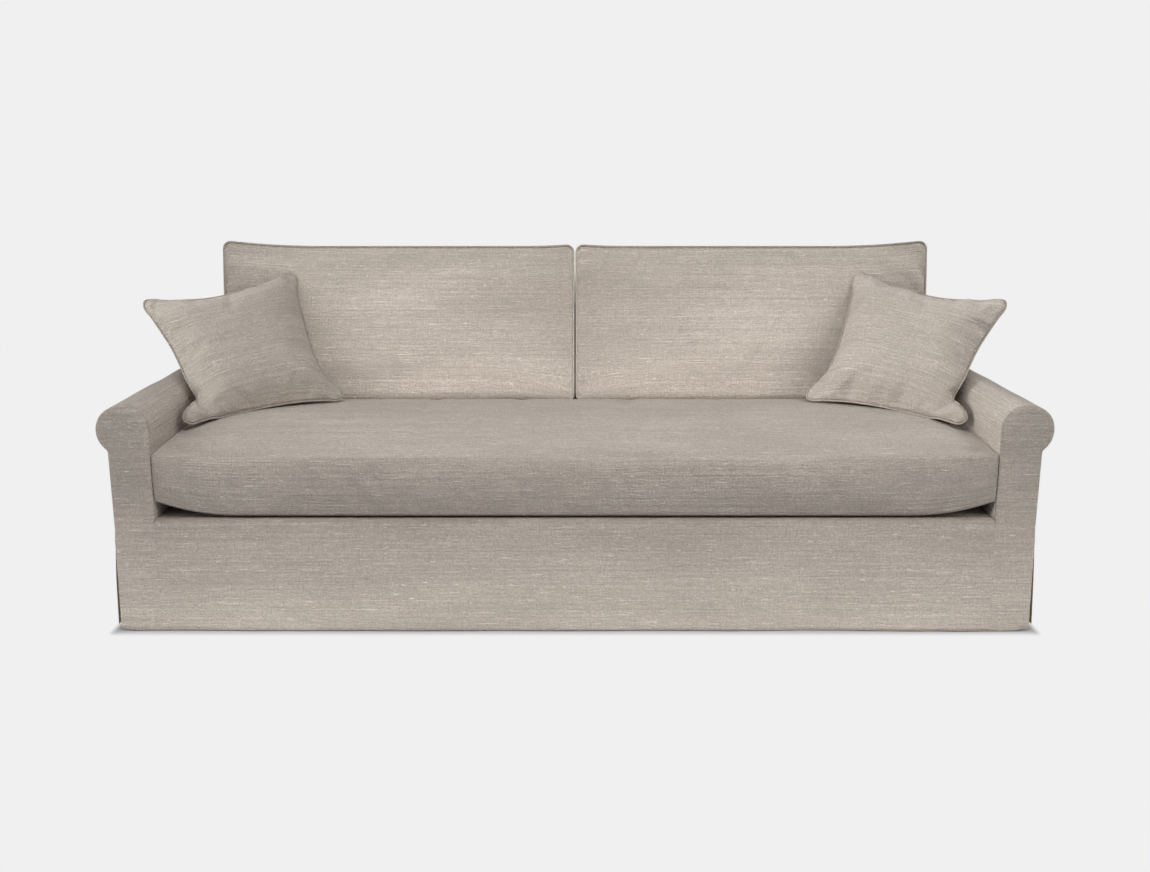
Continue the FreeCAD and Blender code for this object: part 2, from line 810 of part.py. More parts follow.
# Seat cushion
def seat_form(inset):
    """The bench cushion: crowned on top, drawn in at its corners and flat where it rests on the deck."""
    half = inner_x - seat_side_gap - inset
    rests = deck_height + cloth_gap + inset

    def section(x):
        from_end = half - abs(x)
        in_from_end = ease(from_end, seat_crown_reach)
        low = ease_both(from_end, seat_bottom_reach)
        front = seat_front_y - seat_front_bulge * in_from_end + inset
        rear = seat_rear_y - inset
        top = seat_seam_height - inset
        front_low = seat_corner_seam_height + inset
        front_low -= (seat_corner_seam_height - seat_middle_seam_height) * low
        rear_low = seat_corner_seam_height + inset
        rear_low -= (seat_corner_seam_height - seat_rear_seam_height) * low
        flat = rests + seat_bottom_lift * (1.0 - low)
        crown = seat_end_crown + (seat_crown - seat_end_crown) * in_from_end
        bulge = boxing_bulge * (boxing_end_share + (1.0 - boxing_end_share) * in_from_end)

        def at(y, z):
            return Vector(x, y, z)

        def under(seam_y, seam_z, flat_y):
            """Middle of the arc that leaves the seam and runs level into the flat underside."""
            rise = seam_z - flat
            run = flat_y - seam_y
            radius = (run**2 + rise**2) / (2 * rise)
            turn = math.asin(run / radius) / 2
            return at(flat_y - radius * math.sin(turn), flat + radius * (1 - math.cos(turn)))

        front_flat = front + seat_bottom_round
        rear_flat = rear - seat_bottom_round
        return wire_through(
            at(front, top),
            [
                (at(front - bulge, (top + front_low) / 2), at(front, front_low)),
                (under(front, front_low, front_flat), at(front_flat, flat)),
                at(rear_flat, flat),
                (under(rear, rear_low, rear_flat), at(rear, rear_low)),
                at(rear, top),
                (at((front + rear) / 2, top + crown), at(front, top)),
            ],
        )

    steps = (0.0, 0.12, 0.26, 0.42, 0.6, 0.8, 1.0, 1.2, 1.5, 2.2, 3.2, 4.5, 5.8)
    stations = [step * seat_bottom_reach - half for step in steps]
    stations += [0.0] + [-x for x in stations[::-1]]
    return Part.makeLoft([section(x) for x in stations], True, False)


def seat_cushion():
    core_half = inner_x - core_end_gap
    core = box(
        -core_half, core_half, seat_front_y + core_edge_gap, seat_rear_y - core_edge_gap,
        core_bottom, core_top,
    )
    tape_y = seat_rear_y
    tape_low = zip_height - tape_width / 2
    coil_low = zip_height - coil_width / 2
    tape = box(
        -zip_length / 2, zip_length / 2, tape_y, tape_y + tape_thickness,
        tape_low, tape_low + tape_width,
    )
    coil = box(
        -zip_length / 2, zip_length / 2, tape_y + tape_thickness,
        tape_y + tape_thickness + coil_thickness, coil_low, coil_low + coil_width,
    )
    return {
        "seat_cushion_cover": seat_form(0.0).cut(seat_form(cloth)),
        "seat_cushion_wrap": seat_form(cloth + cloth_gap).cut(core),
        "seat_cushion_core": core,
        "seat_zipper": tape.fuse(coil).removeSplitter(),
        "seat_zipper_slider": zip_slider(),
    }


def zip_slider():
    """Bridges the zip's coil at the left end of the zip, with its pull hanging below."""
    x0 = -zip_length / 2 + slider_length
    base_y = seat_rear_y + tape_thickness + slider_gap
    body = box(
        x0, x0 + slider_length, base_y, base_y + slider_thickness,
        zip_height - slider_width / 2, zip_height + slider_width / 2,
    )
    channel_half = coil_width / 2 + slider_gap
    channel = box(
        x0 - 1, x0 + slider_length + 1, base_y - 1, base_y + slider_thickness - slider_wall,
        zip_height - channel_half, zip_height + channel_half,
    )
    pull_x = x0 + slider_length / 2
    pull = box(
        pull_x - pull_width / 2, pull_x + pull_width / 2,
        base_y + slider_thickness, base_y + slider_thickness + pull_thickness,
        zip_height - pull_length, zip_height + slider_width / 4,
    )
    return body.cut(channel).fuse(pull).removeSplitter()


# Back cushions
def on_back(x, up, out):
    """A point at a height and a distance measured along and off the leaning inside back."""
    return Vector(
        x,
        deck_back_y + up * math.sin(lean) - out * math.cos(lean),
        deck_height + up * math.cos(lean) + out * math.sin(lean),
    )


def corner_drop(distance, radius):
    if distance >= radius:
        return 0.0
    return radius - math.sqrt(radius**2 - (radius - distance) ** 2)


def ear(reach, rise):
    """An upper corner that curves up over reach by about rise and ends in a small rounding.

    Gives the radius of the upward curve, the height of the rounding's centre over the straight
    edge, and how far from the end the two meet."""
    radius = (reach**2 + rise**2) / (2 * rise)
    across = reach - top_corner_round
    drop = math.sqrt((radius + top_corner_round) ** 2 - across**2)
    return radius, radius - drop, reach - across * radius / (radius + top_corner_round)


def ear_height(distance, reach, rise):
    """The upper edge's height over its straight middle, at a distance from the cushion's end."""
    radius, centre_up, meet_distance = ear(reach, rise)
    if distance >= reach:
        return 0.0
    if distance >= meet_distance:
        return radius - math.sqrt(radius**2 - (reach - distance) ** 2)
    return centre_up + math.sqrt(top_corner_round**2 - (top_corner_round - distance) ** 2)


def back_cushion_form(inset):
    """The right back cushion: boxed, crowned in front, flat behind, with raised upper corners."""
    outer_end = back_cushion_outer_x - inset
    inner_end = back_cushion_inner_x + inset
    rear = cloth_gap + inset
    front = back_cushion_thickness - inset

    def section(x):
        from_outer = outer_end - x
        from_inner = x - inner_end
        nearer = min(from_outer, from_inner)
        top = back_cushion_top - inset
        top += ear_height(from_outer, outer_ear_reach, outer_ear)
        top += ear_height(from_inner, inner_ear_reach, inner_ear)
        bottom = back_cushion_bottom + inset + corner_drop(nearer, bottom_corner_round)
        crown = back_cushion_crown - back_cushion_end_crown
        crown = back_cushion_end_crown + crown * ease(nearer, back_cushion_crown_reach)
        middle = (front + rear) / 2
        return wire_through(
            on_back(x, bottom, rear),
            [
                (on_back(x, bottom - end_bulge, middle), on_back(x, bottom, front)),
                (on_back(x, (top + bottom) / 2, front + crown), on_back(x, top, front)),
                (on_back(x, top + end_bulge, middle), on_back(x, top, rear)),
                on_back(x, bottom, rear),
            ],
        )

    turns = [math.radians(angle) for angle in (0.0, 22.5, 45.0, 67.5, 90.0)]
    steps = [top_corner_round * (1.0 - math.cos(turn)) for turn in turns]
    steps += [2.2 * top_corner_round, 4.0 * top_corner_round]
    steps += [inner_ear_reach, (inner_ear_reach + outer_ear_reach) / 2, outer_ear_reach]
    stations = [inner_end + step for step in steps]
    stations += [outer_end - step for step in steps[::-1]]
    return Part.makeLoft([section(x) for x in stations], True, False)


def back_cushion_welt():
    """The corded edge round the right cushion's front face, as one closed tube."""
    off = welt_radius + welt_gap
    out = back_cushion_thickness + off * welt_forward
    grow = off * welt_out
    outer_end = back_cushion_outer_x
    inner_end = back_cushion_inner_x
    low = back_cushion_bottom
    top_round = top_corner_round + grow
    low_round = bottom_corner_round + grow

    def at(x, up):
        return on_back(x, up, out)

    def ear_arcs(end, side, reach, rise):
        """The rounding and the upward curve at one end, from the end inwards."""
        radius, centre_up = ear(reach, rise)[:2]
        curve_x = end - side * reach
        curve_up = back_cushion_top + radius
        round_x = end - side * top_corner_round
        round_up = back_cushion_top + centre_up
        meet_turn = math.asin((reach - top_corner_round) / (radius + top_corner_round))

        def on_curve(turn):
            return at(
                curve_x + side * (radius - grow) * math.sin(turn),
                curve_up - (radius - grow) * math.cos(turn),
            )

        def on_round(turn):
            return at(round_x + side * top_round * math.cos(turn), round_up + top_round * math.sin(turn))

        meet = on_curve(meet_turn)
        round_meet = math.pi / 2 + meet_turn
        return [on_round(0.0), on_round(round_meet / 2), meet, on_curve(meet_turn / 2), on_curve(0.0)]

    outer = ear_arcs(outer_end, 1, outer_ear_reach, outer_ear)
    inner = ear_arcs(inner_end, -1, inner_ear_reach, inner_ear)
    start = at((inner_end + outer_end) / 2, low - grow)
    centre_up = low + bottom_corner_round
    path = wire_through(
        start,
        [
            at(outer_end - bottom_corner_round, low - grow),
            (
                at(
                    outer_end - bottom_corner_round + low_round * half_turn,
                    centre_up - low_round * half_turn,
                ),
                at(outer_end + grow, centre_up),
            ),
            outer[0],
            (outer[1], outer[2]),
            (outer[3], outer[4]),
            inner[4],
            (inner[3], inner[2]),
            (inner[1], inner[0]),
            at(inner_end - grow, centre_up),
            (
                at(
                    inner_end + bottom_corner_round - low_round * half_turn,
                    centre_up - low_round * half_turn,
                ),
                at(inner_end + bottom_corner_round, low - grow),
            ),
            start,
        ],
    )
    return closed_tube(path, welt_radius, Vector(1, 0, 0))


# Throw pillows
def pillow_axes():
    """The left pillow's own directions: along its foot, up its face, and out of its face."""
    turn = math.radians(pillow_turn)
    tip = math.radians(pillow_tip)
    out = Vector(
        math.cos(tip) * math.sin(turn), -math.cos(tip) * math.cos(turn), math.sin(tip)
    )
    level = Vector(0, 0, 1).cross(out)
    level.normalize()
    rise = out.cross(level)
    roll = math.radians(pillow_roll)
    along = level * math.cos(roll) + rise * math.sin(roll)
    up = rise * math.cos(roll) - level * math.sin(roll)
    return along, up, out


def pillow_point(u, v, n):
    along, up, out = pillow_axes()
    return pillow_centre + along * u + up * v + out * n


def circles_meet(centre_a, radius_a, centre_b, radius_b, near):
    """The point where two circles in the pillow's plane cross, on the side of near."""
    between = centre_b - centre_a
    apart = between.Length
    reach = (apart**2 + radius_a**2 - radius_b**2) / (2 * apart)
    side = math.sqrt(radius_a**2 - reach**2)
    foot = centre_a + between * (reach / apart)
    across = Vector(-between.y, between.x, 0) * (side / apart)
    return min((foot + across, foot - across), key=lambda point: (point - near).Length)


def pillow_outline():
    """Circles of the four drawn-in edges (centre, radius) and centres of the four rounded corners."""
    corners = [Vector(u, v, 0) for u, v in pillow_corners]
    edges = []
    for start, end in zip(corners, corners[1:] + corners[:1]):
        chord = end - start
        inward = Vector(-chord.y, chord.x, 0) / chord.Length
        radius = (chord.Length**2 / 4 + pillow_draw_in**2) / (2 * pillow_draw_in)
        edges.append(((start + end) / 2 + inward * (pillow_draw_in - radius), radius))
    rounds = []
    for k, corner in enumerate(corners):
        before, after = edges[k - 1], edges[k]
        rounds.append(
            circles_meet(
                before[0], before[1] + pillow_corner_round, after[0], after[1] + pillow_corner_round,
                corner,
            )
        )
    return edges, rounds


def toward(centre, target, distance):
    """The point at a distance from centre, in the direction of target."""
    way = target - centre
    return centre + way * (distance / way.Length)


def pillow_form(inset):
    """The left pillow: plump in the middle, thin at its seam and drawn in between its corners."""
    edges, rounds = pillow_outline()
    half_seam = (pillow_inner_seam if inset else pillow_seam) / 2
    plump = pillow_thickness / 2 - inset
    corner_radius = pillow_corner_round - inset
    corner_share = pillow_corner_round / (pillow_corners[1][0] - pillow_corners[0][0])

    def on_edge(edge, corner):
        """Where an edge's arc runs into a corner's arc."""
        centre, radius = edges[edge]
        return toward(centre, rounds[corner], radius + inset)

    def along_edge(edge, first, last, share):
        chord = on_edge(edge, first) * (1 - share) + on_edge(edge, last) * share
        return toward(edges[edge][0], chord, edges[edge][1] + inset)

    def round_corner(corner, side_edge, level_edge, share):
        ends = on_edge(side_edge, corner) * (1 - share) + on_edge(level_edge, corner) * share
        return toward(rounds[corner], ends, corner_radius)

    def side_middle(edge, corner_a, corner_b):
        return along_edge(edge, corner_a, corner_b, 0.5)

    left = side_middle(3, 3, 0)
    right = side_middle(1, 1, 2)

    def section(low, high, share):
        middle = left * (1 - share) + right * share
        swell = math.sin(math.pi * share) ** pillow_swell_power if 0 < share < 1 else 0.0
        out = half_seam + (plump - half_seam) * swell
        low_front = pillow_point(low.x, low.y, half_seam)
        low_back = pillow_point(low.x, low.y, -half_seam)
        high_front = pillow_point(high.x, high.y, half_seam)
        high_back = pillow_point(high.x, high.y, -half_seam)
        return [
            Part.Arc(low_front, pillow_point(middle.x, middle.y, out), high_front).toShape(),
            Part.LineSegment(high_front, high_back).toShape(),
            Part.Arc(high_back, pillow_point(middle.x, middle.y, -out), low_back).toShape(),
            Part.LineSegment(low_back, low_front).toShape(),
        ]

    corner_steps = (0.0, 0.25, 0.5, 0.75)
    edge_steps = (0.0, 0.08, 0.2, 0.35, 0.5, 0.65, 0.8, 0.92, 1.0)
    sections = []
    for step in corner_steps:
        sections.append(
            section(
                round_corner(0, 3, 0, step), round_corner(3, 3, 2, step), corner_share * step**2
            )
        )
    for step in edge_steps:
        sections.append(
            section(
                along_edge(0, 0, 1, step), along_edge(2, 3, 2, step),
                corner_share + (1 - 2 * corner_share) * step,
            )
        )
    for step in corner_steps[::-1]:
        sections.append(
            section(
                round_corner(1, 1, 0, step), round_corner(2, 1, 2, step), 1 - corner_share * step**2
            )
        )
    skin = Part.makeLoft([Part.Wire(edges_of) for edges_of in sections], False, False)
    faces = list(skin.Faces)
    for ends in (sections[0], sections[-1]):
        faces.append(Part.makeRuledSurface(ends[0], ends[2]))
    shell = Part.makeCompound(faces)
    shell.sewShape(sewing_gap)
    solid = Part.Solid(shell.Shells[0] if shell.Shells else Part.Shell(shell.Faces))
    if solid.Volume < 0:
        solid.reverse()
    return solid


def pillow_welt():
    """The corded edge round the left pillow's seam, as one closed tube."""
    edges, rounds = pillow_outline()
    off = pillow_welt_radius + welt_gap
    corner_radius = pillow_corner_round + off

    def place(point):
        return pillow_point(point.x, point.y, 0.0)

    def on_edge(edge, corner):
        return toward(edges[edge][0], rounds[corner], edges[edge][1] - off)

    def edge_middle(edge, first, last):
        return toward(edges[edge][0], (first + last) / 2, edges[edge][1] - off)

    first = edge_middle(0, on_edge(0, 0), on_edge(0, 1))
    steps = []
    here = first
    for corner in (1, 2, 3, 0):
        before, after = (corner - 1) % 4, corner
        into = on_edge(before, corner)
        out_of = on_edge(after, corner)
        steps.append((place(edge_middle(before, here, into)), place(into)))
        turn = toward(rounds[corner], (into + out_of) / 2, corner_radius)
        steps.append((place(turn), place(out_of)))
        here = out_of
    steps.append((place(edge_middle(0, here, first)), place(first)))
    path = wire_through(place(first), steps)
    chord = on_edge(0, 1) - on_edge(0, 0)
    way = place(first + chord) - place(first)
    return closed_tube(path, pillow_welt_radius, way)


def main():
    os.makedirs("parts", exist_ok=True)
    nodes = {}
    nodes.update(slipcover())
    nodes.update(base_frame())
    boards, arm_rail, arm_pad = arm_frame()
    for side, shape in (("right", lambda s: s), ("left", mirrored)):
        nodes[side + "_arm_boards"] = shape(boards)
        nodes[side + "_arm_top_rail"] = shape(arm_rail)
        nodes[side + "_arm_pad"] = shape(arm_pad)
    nodes.update(back_frame())
    nodes.update(deck_inside())
    nodes.update(seat_cushion())
    cover = back_cushion_form(0.0).cut(back_cushion_form(cloth))
    insert = back_cushion_form(cloth + cloth_gap)
    welt = back_cushion_welt()
    pillow_cover = pillow_form(0.0).cut(pillow_form(cloth))
    pillow_insert = pillow_form(cloth + cloth_gap)
    pillow_edge = pillow_welt()
    for side, shape in (("right", lambda s: s), ("left", mirrored)):
        nodes[side + "_back_cushion_cover"] = shape(cover)
        nodes[side + "_back_cushion_insert"] = shape(insert)
        nodes[side + "_back_cushion_welt"] = shape(welt)
    for side, shape in (("left", lambda s: s), ("right", mirrored)):
        nodes[side + "_pillow_cover"] = shape(pillow_cover)
        nodes[side + "_pillow_insert"] = shape(pillow_insert)
        nodes[side + "_pillow_welt"] = shape(pillow_edge)
    for name, shape in nodes.items():
        export(name, shape)
    return nodes


main()
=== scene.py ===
"""The looks of a slipcovered sofa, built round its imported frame. Lengths are in metres.

X runs to the right as seen from the front, Y to the back and Z up from the floor. Left and right are as
seen from the front. Every piece of cloth carries a UV map in metres whose U runs along the weft, the
direction of the slubs, so one weave fits them all.
"""

import math

import bmesh
import bpy
import numpy as np
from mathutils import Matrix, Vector, noise
from mathutils.bvhtree import BVHTree


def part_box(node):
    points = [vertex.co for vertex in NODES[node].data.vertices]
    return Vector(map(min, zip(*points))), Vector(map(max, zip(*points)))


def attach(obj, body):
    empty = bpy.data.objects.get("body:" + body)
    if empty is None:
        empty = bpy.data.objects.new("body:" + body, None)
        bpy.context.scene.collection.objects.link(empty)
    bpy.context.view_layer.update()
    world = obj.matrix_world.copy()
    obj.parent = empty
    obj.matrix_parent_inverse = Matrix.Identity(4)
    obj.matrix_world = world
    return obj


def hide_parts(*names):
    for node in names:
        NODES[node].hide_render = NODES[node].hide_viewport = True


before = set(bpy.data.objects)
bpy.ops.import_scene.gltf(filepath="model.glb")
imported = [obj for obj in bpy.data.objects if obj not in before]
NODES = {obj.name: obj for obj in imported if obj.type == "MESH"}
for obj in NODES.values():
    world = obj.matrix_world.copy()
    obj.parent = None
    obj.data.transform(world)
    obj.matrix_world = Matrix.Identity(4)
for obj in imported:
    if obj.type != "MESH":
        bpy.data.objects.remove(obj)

bl_info = {
    "name": "Slipcovered sofa",
    "version": (1, 0, 0),
    "blender": (4, 5, 0),
    "location": "View3D > Sidebar > Sofa",
    "description": "Dresses the sofa's frame in its slipcover, cushions and pillows",
    "category": "Object",
}

SIDES = (("left", -1), ("right", 1))
# how far each piece's weave is shifted, so that no two pieces show the same slubs
WEAVE_SHIFT = (0.731, 0.417)


def linear(code):
    """An sRGB hex colour as linear RGBA."""
    values = [int(code[k : k + 2], 16) / 255 for k in (1, 3, 5)]
    return tuple(v / 12.92 if v <= 0.04045 else ((v + 0.055) / 1.055) ** 2.4 for v in values) + (1.0,)


def length(name, default, description):
    return bpy.props.FloatProperty(
        name=name, description=description, default=default, precision=4, subtype="DISTANCE", unit="LENGTH"
    )


def colour(name, code, description):
    return bpy.props.FloatVectorProperty(
        name=name, description=description, default=linear(code), size=4, min=0, max=1, subtype="COLOR"
    )


class SofaSizes(bpy.types.PropertyGroup):
    """Sizes of the cloth pieces that a user may change."""

    cloth: length("Cloth", 0.002, "Thickness of the cover's cloth with its lining")
    edge_round: length("Edge round", 0.016, "Rounding where a panel turns into its neighbour")
    outer_round: length("Outer round", 0.005, "Rounding of an arm front's outer edge")
    roll_radius: length("Arm roll", 0.065, "Radius of the roll on top of each arm")
    roll_hollow: length("Under the roll", 0.010, "Radius of the hollow under the roll")
    back_lean: bpy.props.FloatProperty(
        name="Back lean", description="How far the inside back leans", default=math.radians(9),
        subtype="ANGLE", unit="ROTATION",
    )
    vent_top: length("Vent top", 0.248, "Height at which the corner vents start")
    flap_set_back: length("Side flap", 0.010, "How far the side flap starts behind the front")
    flap_hem_set_back: length("Side flap hem", 0.014, "How far the side flap's hem is behind the front")
    front_flare: length("Front flare", 0.012, "How far the front and back hems stand out")
    side_flare: length("Side flare", 0.0170, "How far the side hems stand out")
    welt: length("Cushion welt", 0.00275, "Radius of the back cushions' welt")
    pillow_welt: length("Pillow welt", 0.0023, "Radius of the pillows' welt")
    seat_crown: length("Seat crown", 0.045, "How far the seat cushion's middle rises over its seam")
    pillow_thickness: length("Pillow thickness", 0.124, "Thickness of a pillow in its middle")


class SofaColours(bpy.types.PropertyGroup):
    """Colours that a user may change."""

    cloth: colour("Cloth", "#B6ACA2", "The woven cloth's main colour")
    slub: colour("Slubs", "#E0D6CC", "The thick pale yarns")
    shade: colour("Dark yarns", "#8B837C", "The darker yarns between them")
    lining: colour("Lining", "#26262A", "Dust cover and back liner")
    webbing: colour("Webbing", "#A58A5F", "Jute webbing")
    wood: colour("Wood", "#C9A775", "Frame timber")
    floor: colour("Floor", "#DCDCDC", "Studio floor")
    backdrop: colour("Backdrop", "#F0F0F0", "Paper behind the sofa")


# Small tools for meshes
def smooth_step(value, low, high):
    share = np.clip((value - low) / (high - low), 0.0, 1.0)
    return share * share * (3 - 2 * share)


def ease(distance, reach):
    """0 at an end, rising to 1 at reach from it, and level there."""
    share = np.clip(distance / reach, 0.0, 1.0)
    return share * (2 - share)


def bow(start, end, sag, count):
    """Rows of points between two lists of 2D points, bowed by sag to the left of that way."""
    share = np.linspace(0, 1, count + 1)
    way = end - start
    normal = np.stack((-way[:, 1], way[:, 0]), 1) / np.linalg.norm(way, axis=1)[:, None]
    rows = start[:, None] + way[:, None] * share[:, None]
    return rows + normal[:, None] * ((4 * share * (1 - share))[None, :] * sag[:, None])[..., None]


def stations(half, cells, fine):
    """Places from -half to half: even cells, with the given finer distances at each end."""
    inner = np.linspace(-(half - fine[-1]), half - fine[-1], cells + 1)
    ends = np.array(fine[:-1])
    return np.concatenate((ends - half, inner, (half - ends)[::-1]))


def coons(low, high, left, right):
    """A grid between four edges. Low and high run along its first index, left and right along its second."""
    m, n = len(low), len(left)
    u = np.linspace(0, 1, m)[:, None, None]
    v = np.linspace(0, 1, n)[None, :, None]
    across = (1 - v) * low[:, None] + v * high[:, None]
    along = (1 - u) * left[None] + u * right[None]
    corners = (1 - u) * (1 - v) * low[0] + u * (1 - v) * low[-1] + (1 - u) * v * high[0] + u * v * high[-1]
    return across + along - corners


def run_lengths(grid, axis):
    """Mean length run along one axis of a grid of points, from 0."""
    steps = np.linalg.norm(np.diff(grid, axis=axis), axis=2).mean(axis=1 - axis)
    return np.concatenate(([0.0], np.cumsum(steps)))


def patch(grid, outward, along=0, origin=(0.0, 0.0)):
    """A grid of points as (points, uv, outward). The weft runs along index 0 or 1."""
    first = run_lengths(grid, 0)[:, None] + np.zeros(grid.shape[:2])
    second = run_lengths(grid, 1)[None, :] + np.zeros(grid.shape[:2])
    u, v = (first, second) if along == 0 else (second, first)
    return grid, np.stack((u + origin[0], v + origin[1]), -1), Vector(outward)


def flat_patch(grid, outward, u_axis, v_axis):
    """The same for a nearly flat grid, its UV read straight from two of its coordinates."""
    return grid, np.stack((grid[..., u_axis], grid[..., v_axis]), -1), Vector(outward)


def shift_weave(uv, name):
    """Each piece takes its cloth from another place on the roll."""
    turn = sum(ord(letter) * (k + 1) for k, letter in enumerate(name)) % 97
    return uv + np.array(WEAVE_SHIFT) * turn


def sew(name, patches, material, closed=False, crease=0.0):
    """One mesh object from patches, joined where they touch. Faces keep their patch's number.

    crease says how sharp the seams between patches stay when the mesh is subdivided."""
    mesh = bmesh.new()
    uv_layer = mesh.loops.layers.uv.new("UVMap")
    number = mesh.faces.layers.int.new("patch")
    for index, (grid, uv, outward) in enumerate(patches):
        uv = shift_weave(uv, name)
        m, n = grid.shape[:2]
        verts = [[mesh.verts.new(grid[i, j]) for j in range(n)] for i in range(m)]
        side = np.cross(grid[1:, :-1] - grid[:-1, :-1], grid[:-1, 1:] - grid[:-1, :-1]).sum((0, 1))
        turned = side @ np.array(outward) < 0
        for i in range(m - 1):
            for j in range(n - 1):
                order = [(i, j), (i + 1, j), (i + 1, j + 1), (i, j + 1)]
                if turned:
                    order.reverse()
                face = mesh.faces.new([verts[a][b] for a, b in order])
                face[number] = index
                face.smooth = True
                for loop, (a, b) in zip(face.loops, order):
                    loop[uv_layer].uv = uv[a, b]
    bmesh.ops.remove_doubles(mesh, verts=mesh.verts, dist=2e-5)
    bmesh.ops.dissolve_degenerate(mesh, edges=mesh.edges, dist=1e-6)
    if closed:
        bmesh.ops.recalc_face_normals(mesh, faces=mesh.faces)
    if crease:
        sharp = mesh.edges.layers.float.new("crease_edge")
        for edge in mesh.edges:
            if len({face[number] for face in edge.link_faces}) > 1:
                edge[sharp] = crease
    data = bpy.data.meshes.new(name)
    mesh.to_mesh(data)
    mesh.free()
    data.materials.append(material)
    obj = bpy.data.objects.new(name, data)
    bpy.context.scene.collection.objects.link(obj)
    return obj


def places(obj):
    """The mesh's points as an array."""
    found = np.empty(len(obj.data.vertices) * 3)
    obj.data.vertices.foreach_get("co", found)
    return found.reshape(-1, 3)


def move_to(obj, found):
    obj.data.vertices.foreach_set("co", found.ravel())
    obj.data.update()


def normals(obj):
    found = np.empty(len(obj.data.vertices) * 3, np.float32)
    obj.data.vertex_normals.foreach_get("vector", found)
    return found.reshape(-1, 3).astype(float)


def seam_points(obj):
    """True for the points on an edge between two patches, or on an open edge."""
    number = np.empty(len(obj.data.polygons), int)
    obj.data.attributes["patch"].data.foreach_get("value", number)
    seen = {}
    found = np.zeros(len(obj.data.vertices), bool)
    for face in obj.data.polygons:
        for key in face.edge_keys:
            seen.setdefault(key, []).append(number[face.index])
    for (a, b), owners in seen.items():
        if len(owners) == 1 or owners[0] != owners[1]:
            found[a] = found[b] = True
    return found


def patch_points(obj, wanted):
    """True for the points of the numbered patches."""
    found = np.zeros(len(obj.data.vertices), bool)
    layer = obj.data.attributes["patch"].data
    for face in obj.data.polygons:
        if layer[face.index].value in wanted:
            found[list(face.vertices)] = True
    return found


def smoothed(obj, values, rounds, fixed):
    """The values averaged with their neighbours' over and over, apart from the fixed ones."""
    edges = np.empty(len(obj.data.edges) * 2, int)
    obj.data.edges.foreach_get("vertices", edges)
    a, b = edges.reshape(-1, 2).T
    count = np.bincount(np.concatenate((a, b)), minlength=len(values))[:, None]
    result = values.copy()
    for _ in range(rounds):
        total = np.zeros_like(result)
        np.add.at(total, a, result[b])
        np.add.at(total, b, result[a])
        result = np.where(fixed[:, None], values, (result + total / count) / 2)
    return result


def ripple(obj, amount, scale, seed, weight=None, stretch=(1.0, 1.0, 1.0)):
    """Uneven cloth: moves points along their normals by smooth noise."""
    found, out = places(obj), normals(obj)
    shift = Vector((seed * 7.31, seed * 3.17, seed * 5.93))
    size = np.array(Vector(stretch) / scale)
    lift = np.array([noise.noise(Vector(p * size) + shift) for p in found])
    if weight is not None:
        lift = lift * weight(found)
    move_to(obj, found + out * (lift * amount)[:, None])


# the cloth simulation's frames, and the rounds of smoothing that leave only the broad part of a movement
AIR_FRAMES, BROAD_ROUNDS = 20, 60


def fill_with_air(obj, held, grow, broad, fine, cap, weight=None):
    """Cloth simulation: the cover is cut a little large, held at its seams and blown up.

    The broad part of what it moves and the fine part, the puckers, are each kept in a share."""
    start = places(obj)
    group = obj.vertex_groups.new(name="held")
    group.add([int(k) for k in np.flatnonzero(held)], 1.0, "ADD")
    cloth = obj.modifiers.new("air", "CLOTH")
    settings = cloth.settings
    settings.quality = 4
    settings.mass = 0.3
    settings.tension_stiffness = settings.compression_stiffness = 12
    settings.shear_stiffness = 6
    settings.bending_stiffness = 1.2
    settings.vertex_group_mass = "held"
    settings.use_pressure = True
    settings.uniform_pressure_force = 4
    settings.shrink_min = -grow
    settings.effector_weights.gravity = 0
    cloth.collision_settings.use_collision = False
    cloth.point_cache.frame_end = AIR_FRAMES
    scene = bpy.context.scene
    for step in range(1, AIR_FRAMES + 1):
        scene.frame_set(step)
    blown = obj.evaluated_get(bpy.context.evaluated_depsgraph_get())
    found = np.empty(len(start) * 3)
    blown.data.vertices.foreach_get("co", found)
    obj.modifiers.remove(cloth)
    obj.vertex_groups.remove(group)
    scene.frame_set(1)
    moved = found.reshape(-1, 3) - start
    low = smoothed(obj, moved, BROAD_ROUNDS, held)
    moved = low * broad + (moved - low) * fine
    if weight is not None:
        moved *= weight[:, None]
    far = np.linalg.norm(moved, axis=1)
    moved *= (cap * np.tanh(far / cap) / np.maximum(far, 1e-9))[:, None]
    move_to(obj, start + moved)


# how far from a neighbour a point still counts as close to it or in it
CLEAR_REACH = 0.03


def keep_clear(obj, neighbours, gap):
    """Pushes points of obj out of its neighbours, so that the nearest is gap away."""
    found = places(obj)
    graph = bpy.context.evaluated_depsgraph_get()
    trees = [BVHTree.FromObject(other, graph) for other in neighbours]
    for k, point in enumerate(found):
        here = Vector(point)
        for tree in trees:
            near, out, _, _ = tree.find_nearest(here, CLEAR_REACH)
            if near is None:
                continue
            over = (here - near).dot(out)
            if over < gap:
                here = here + out * (gap - over)
        found[k] = here
    move_to(obj, found)


def subdivide(obj):
    finer = obj.modifiers.new("finer", "SUBSURF")
    finer.levels = finer.render_levels = 1
    finer.uv_smooth = "PRESERVE_BOUNDARIES"


def thicken(obj, thickness):
    wall = obj.modifiers.new("cloth thickness", "SOLIDIFY")
    wall.thickness = thickness
    wall.offset = -1


def on_side(way, one):
    """A patch and its outward way, mirrored in the sofa's middle plane where way is -1."""
    grid, uv, outward = one
    return grid * np.array((way, 1, 1)), uv, Vector((way * outward.x, outward.y, outward.z))


def finish_piece(obj, body, slot, *nodes):
    """Sends a piece along with its body and hides its CAD nodes."""
    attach(obj, body)
    if nodes:
        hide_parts(*nodes)


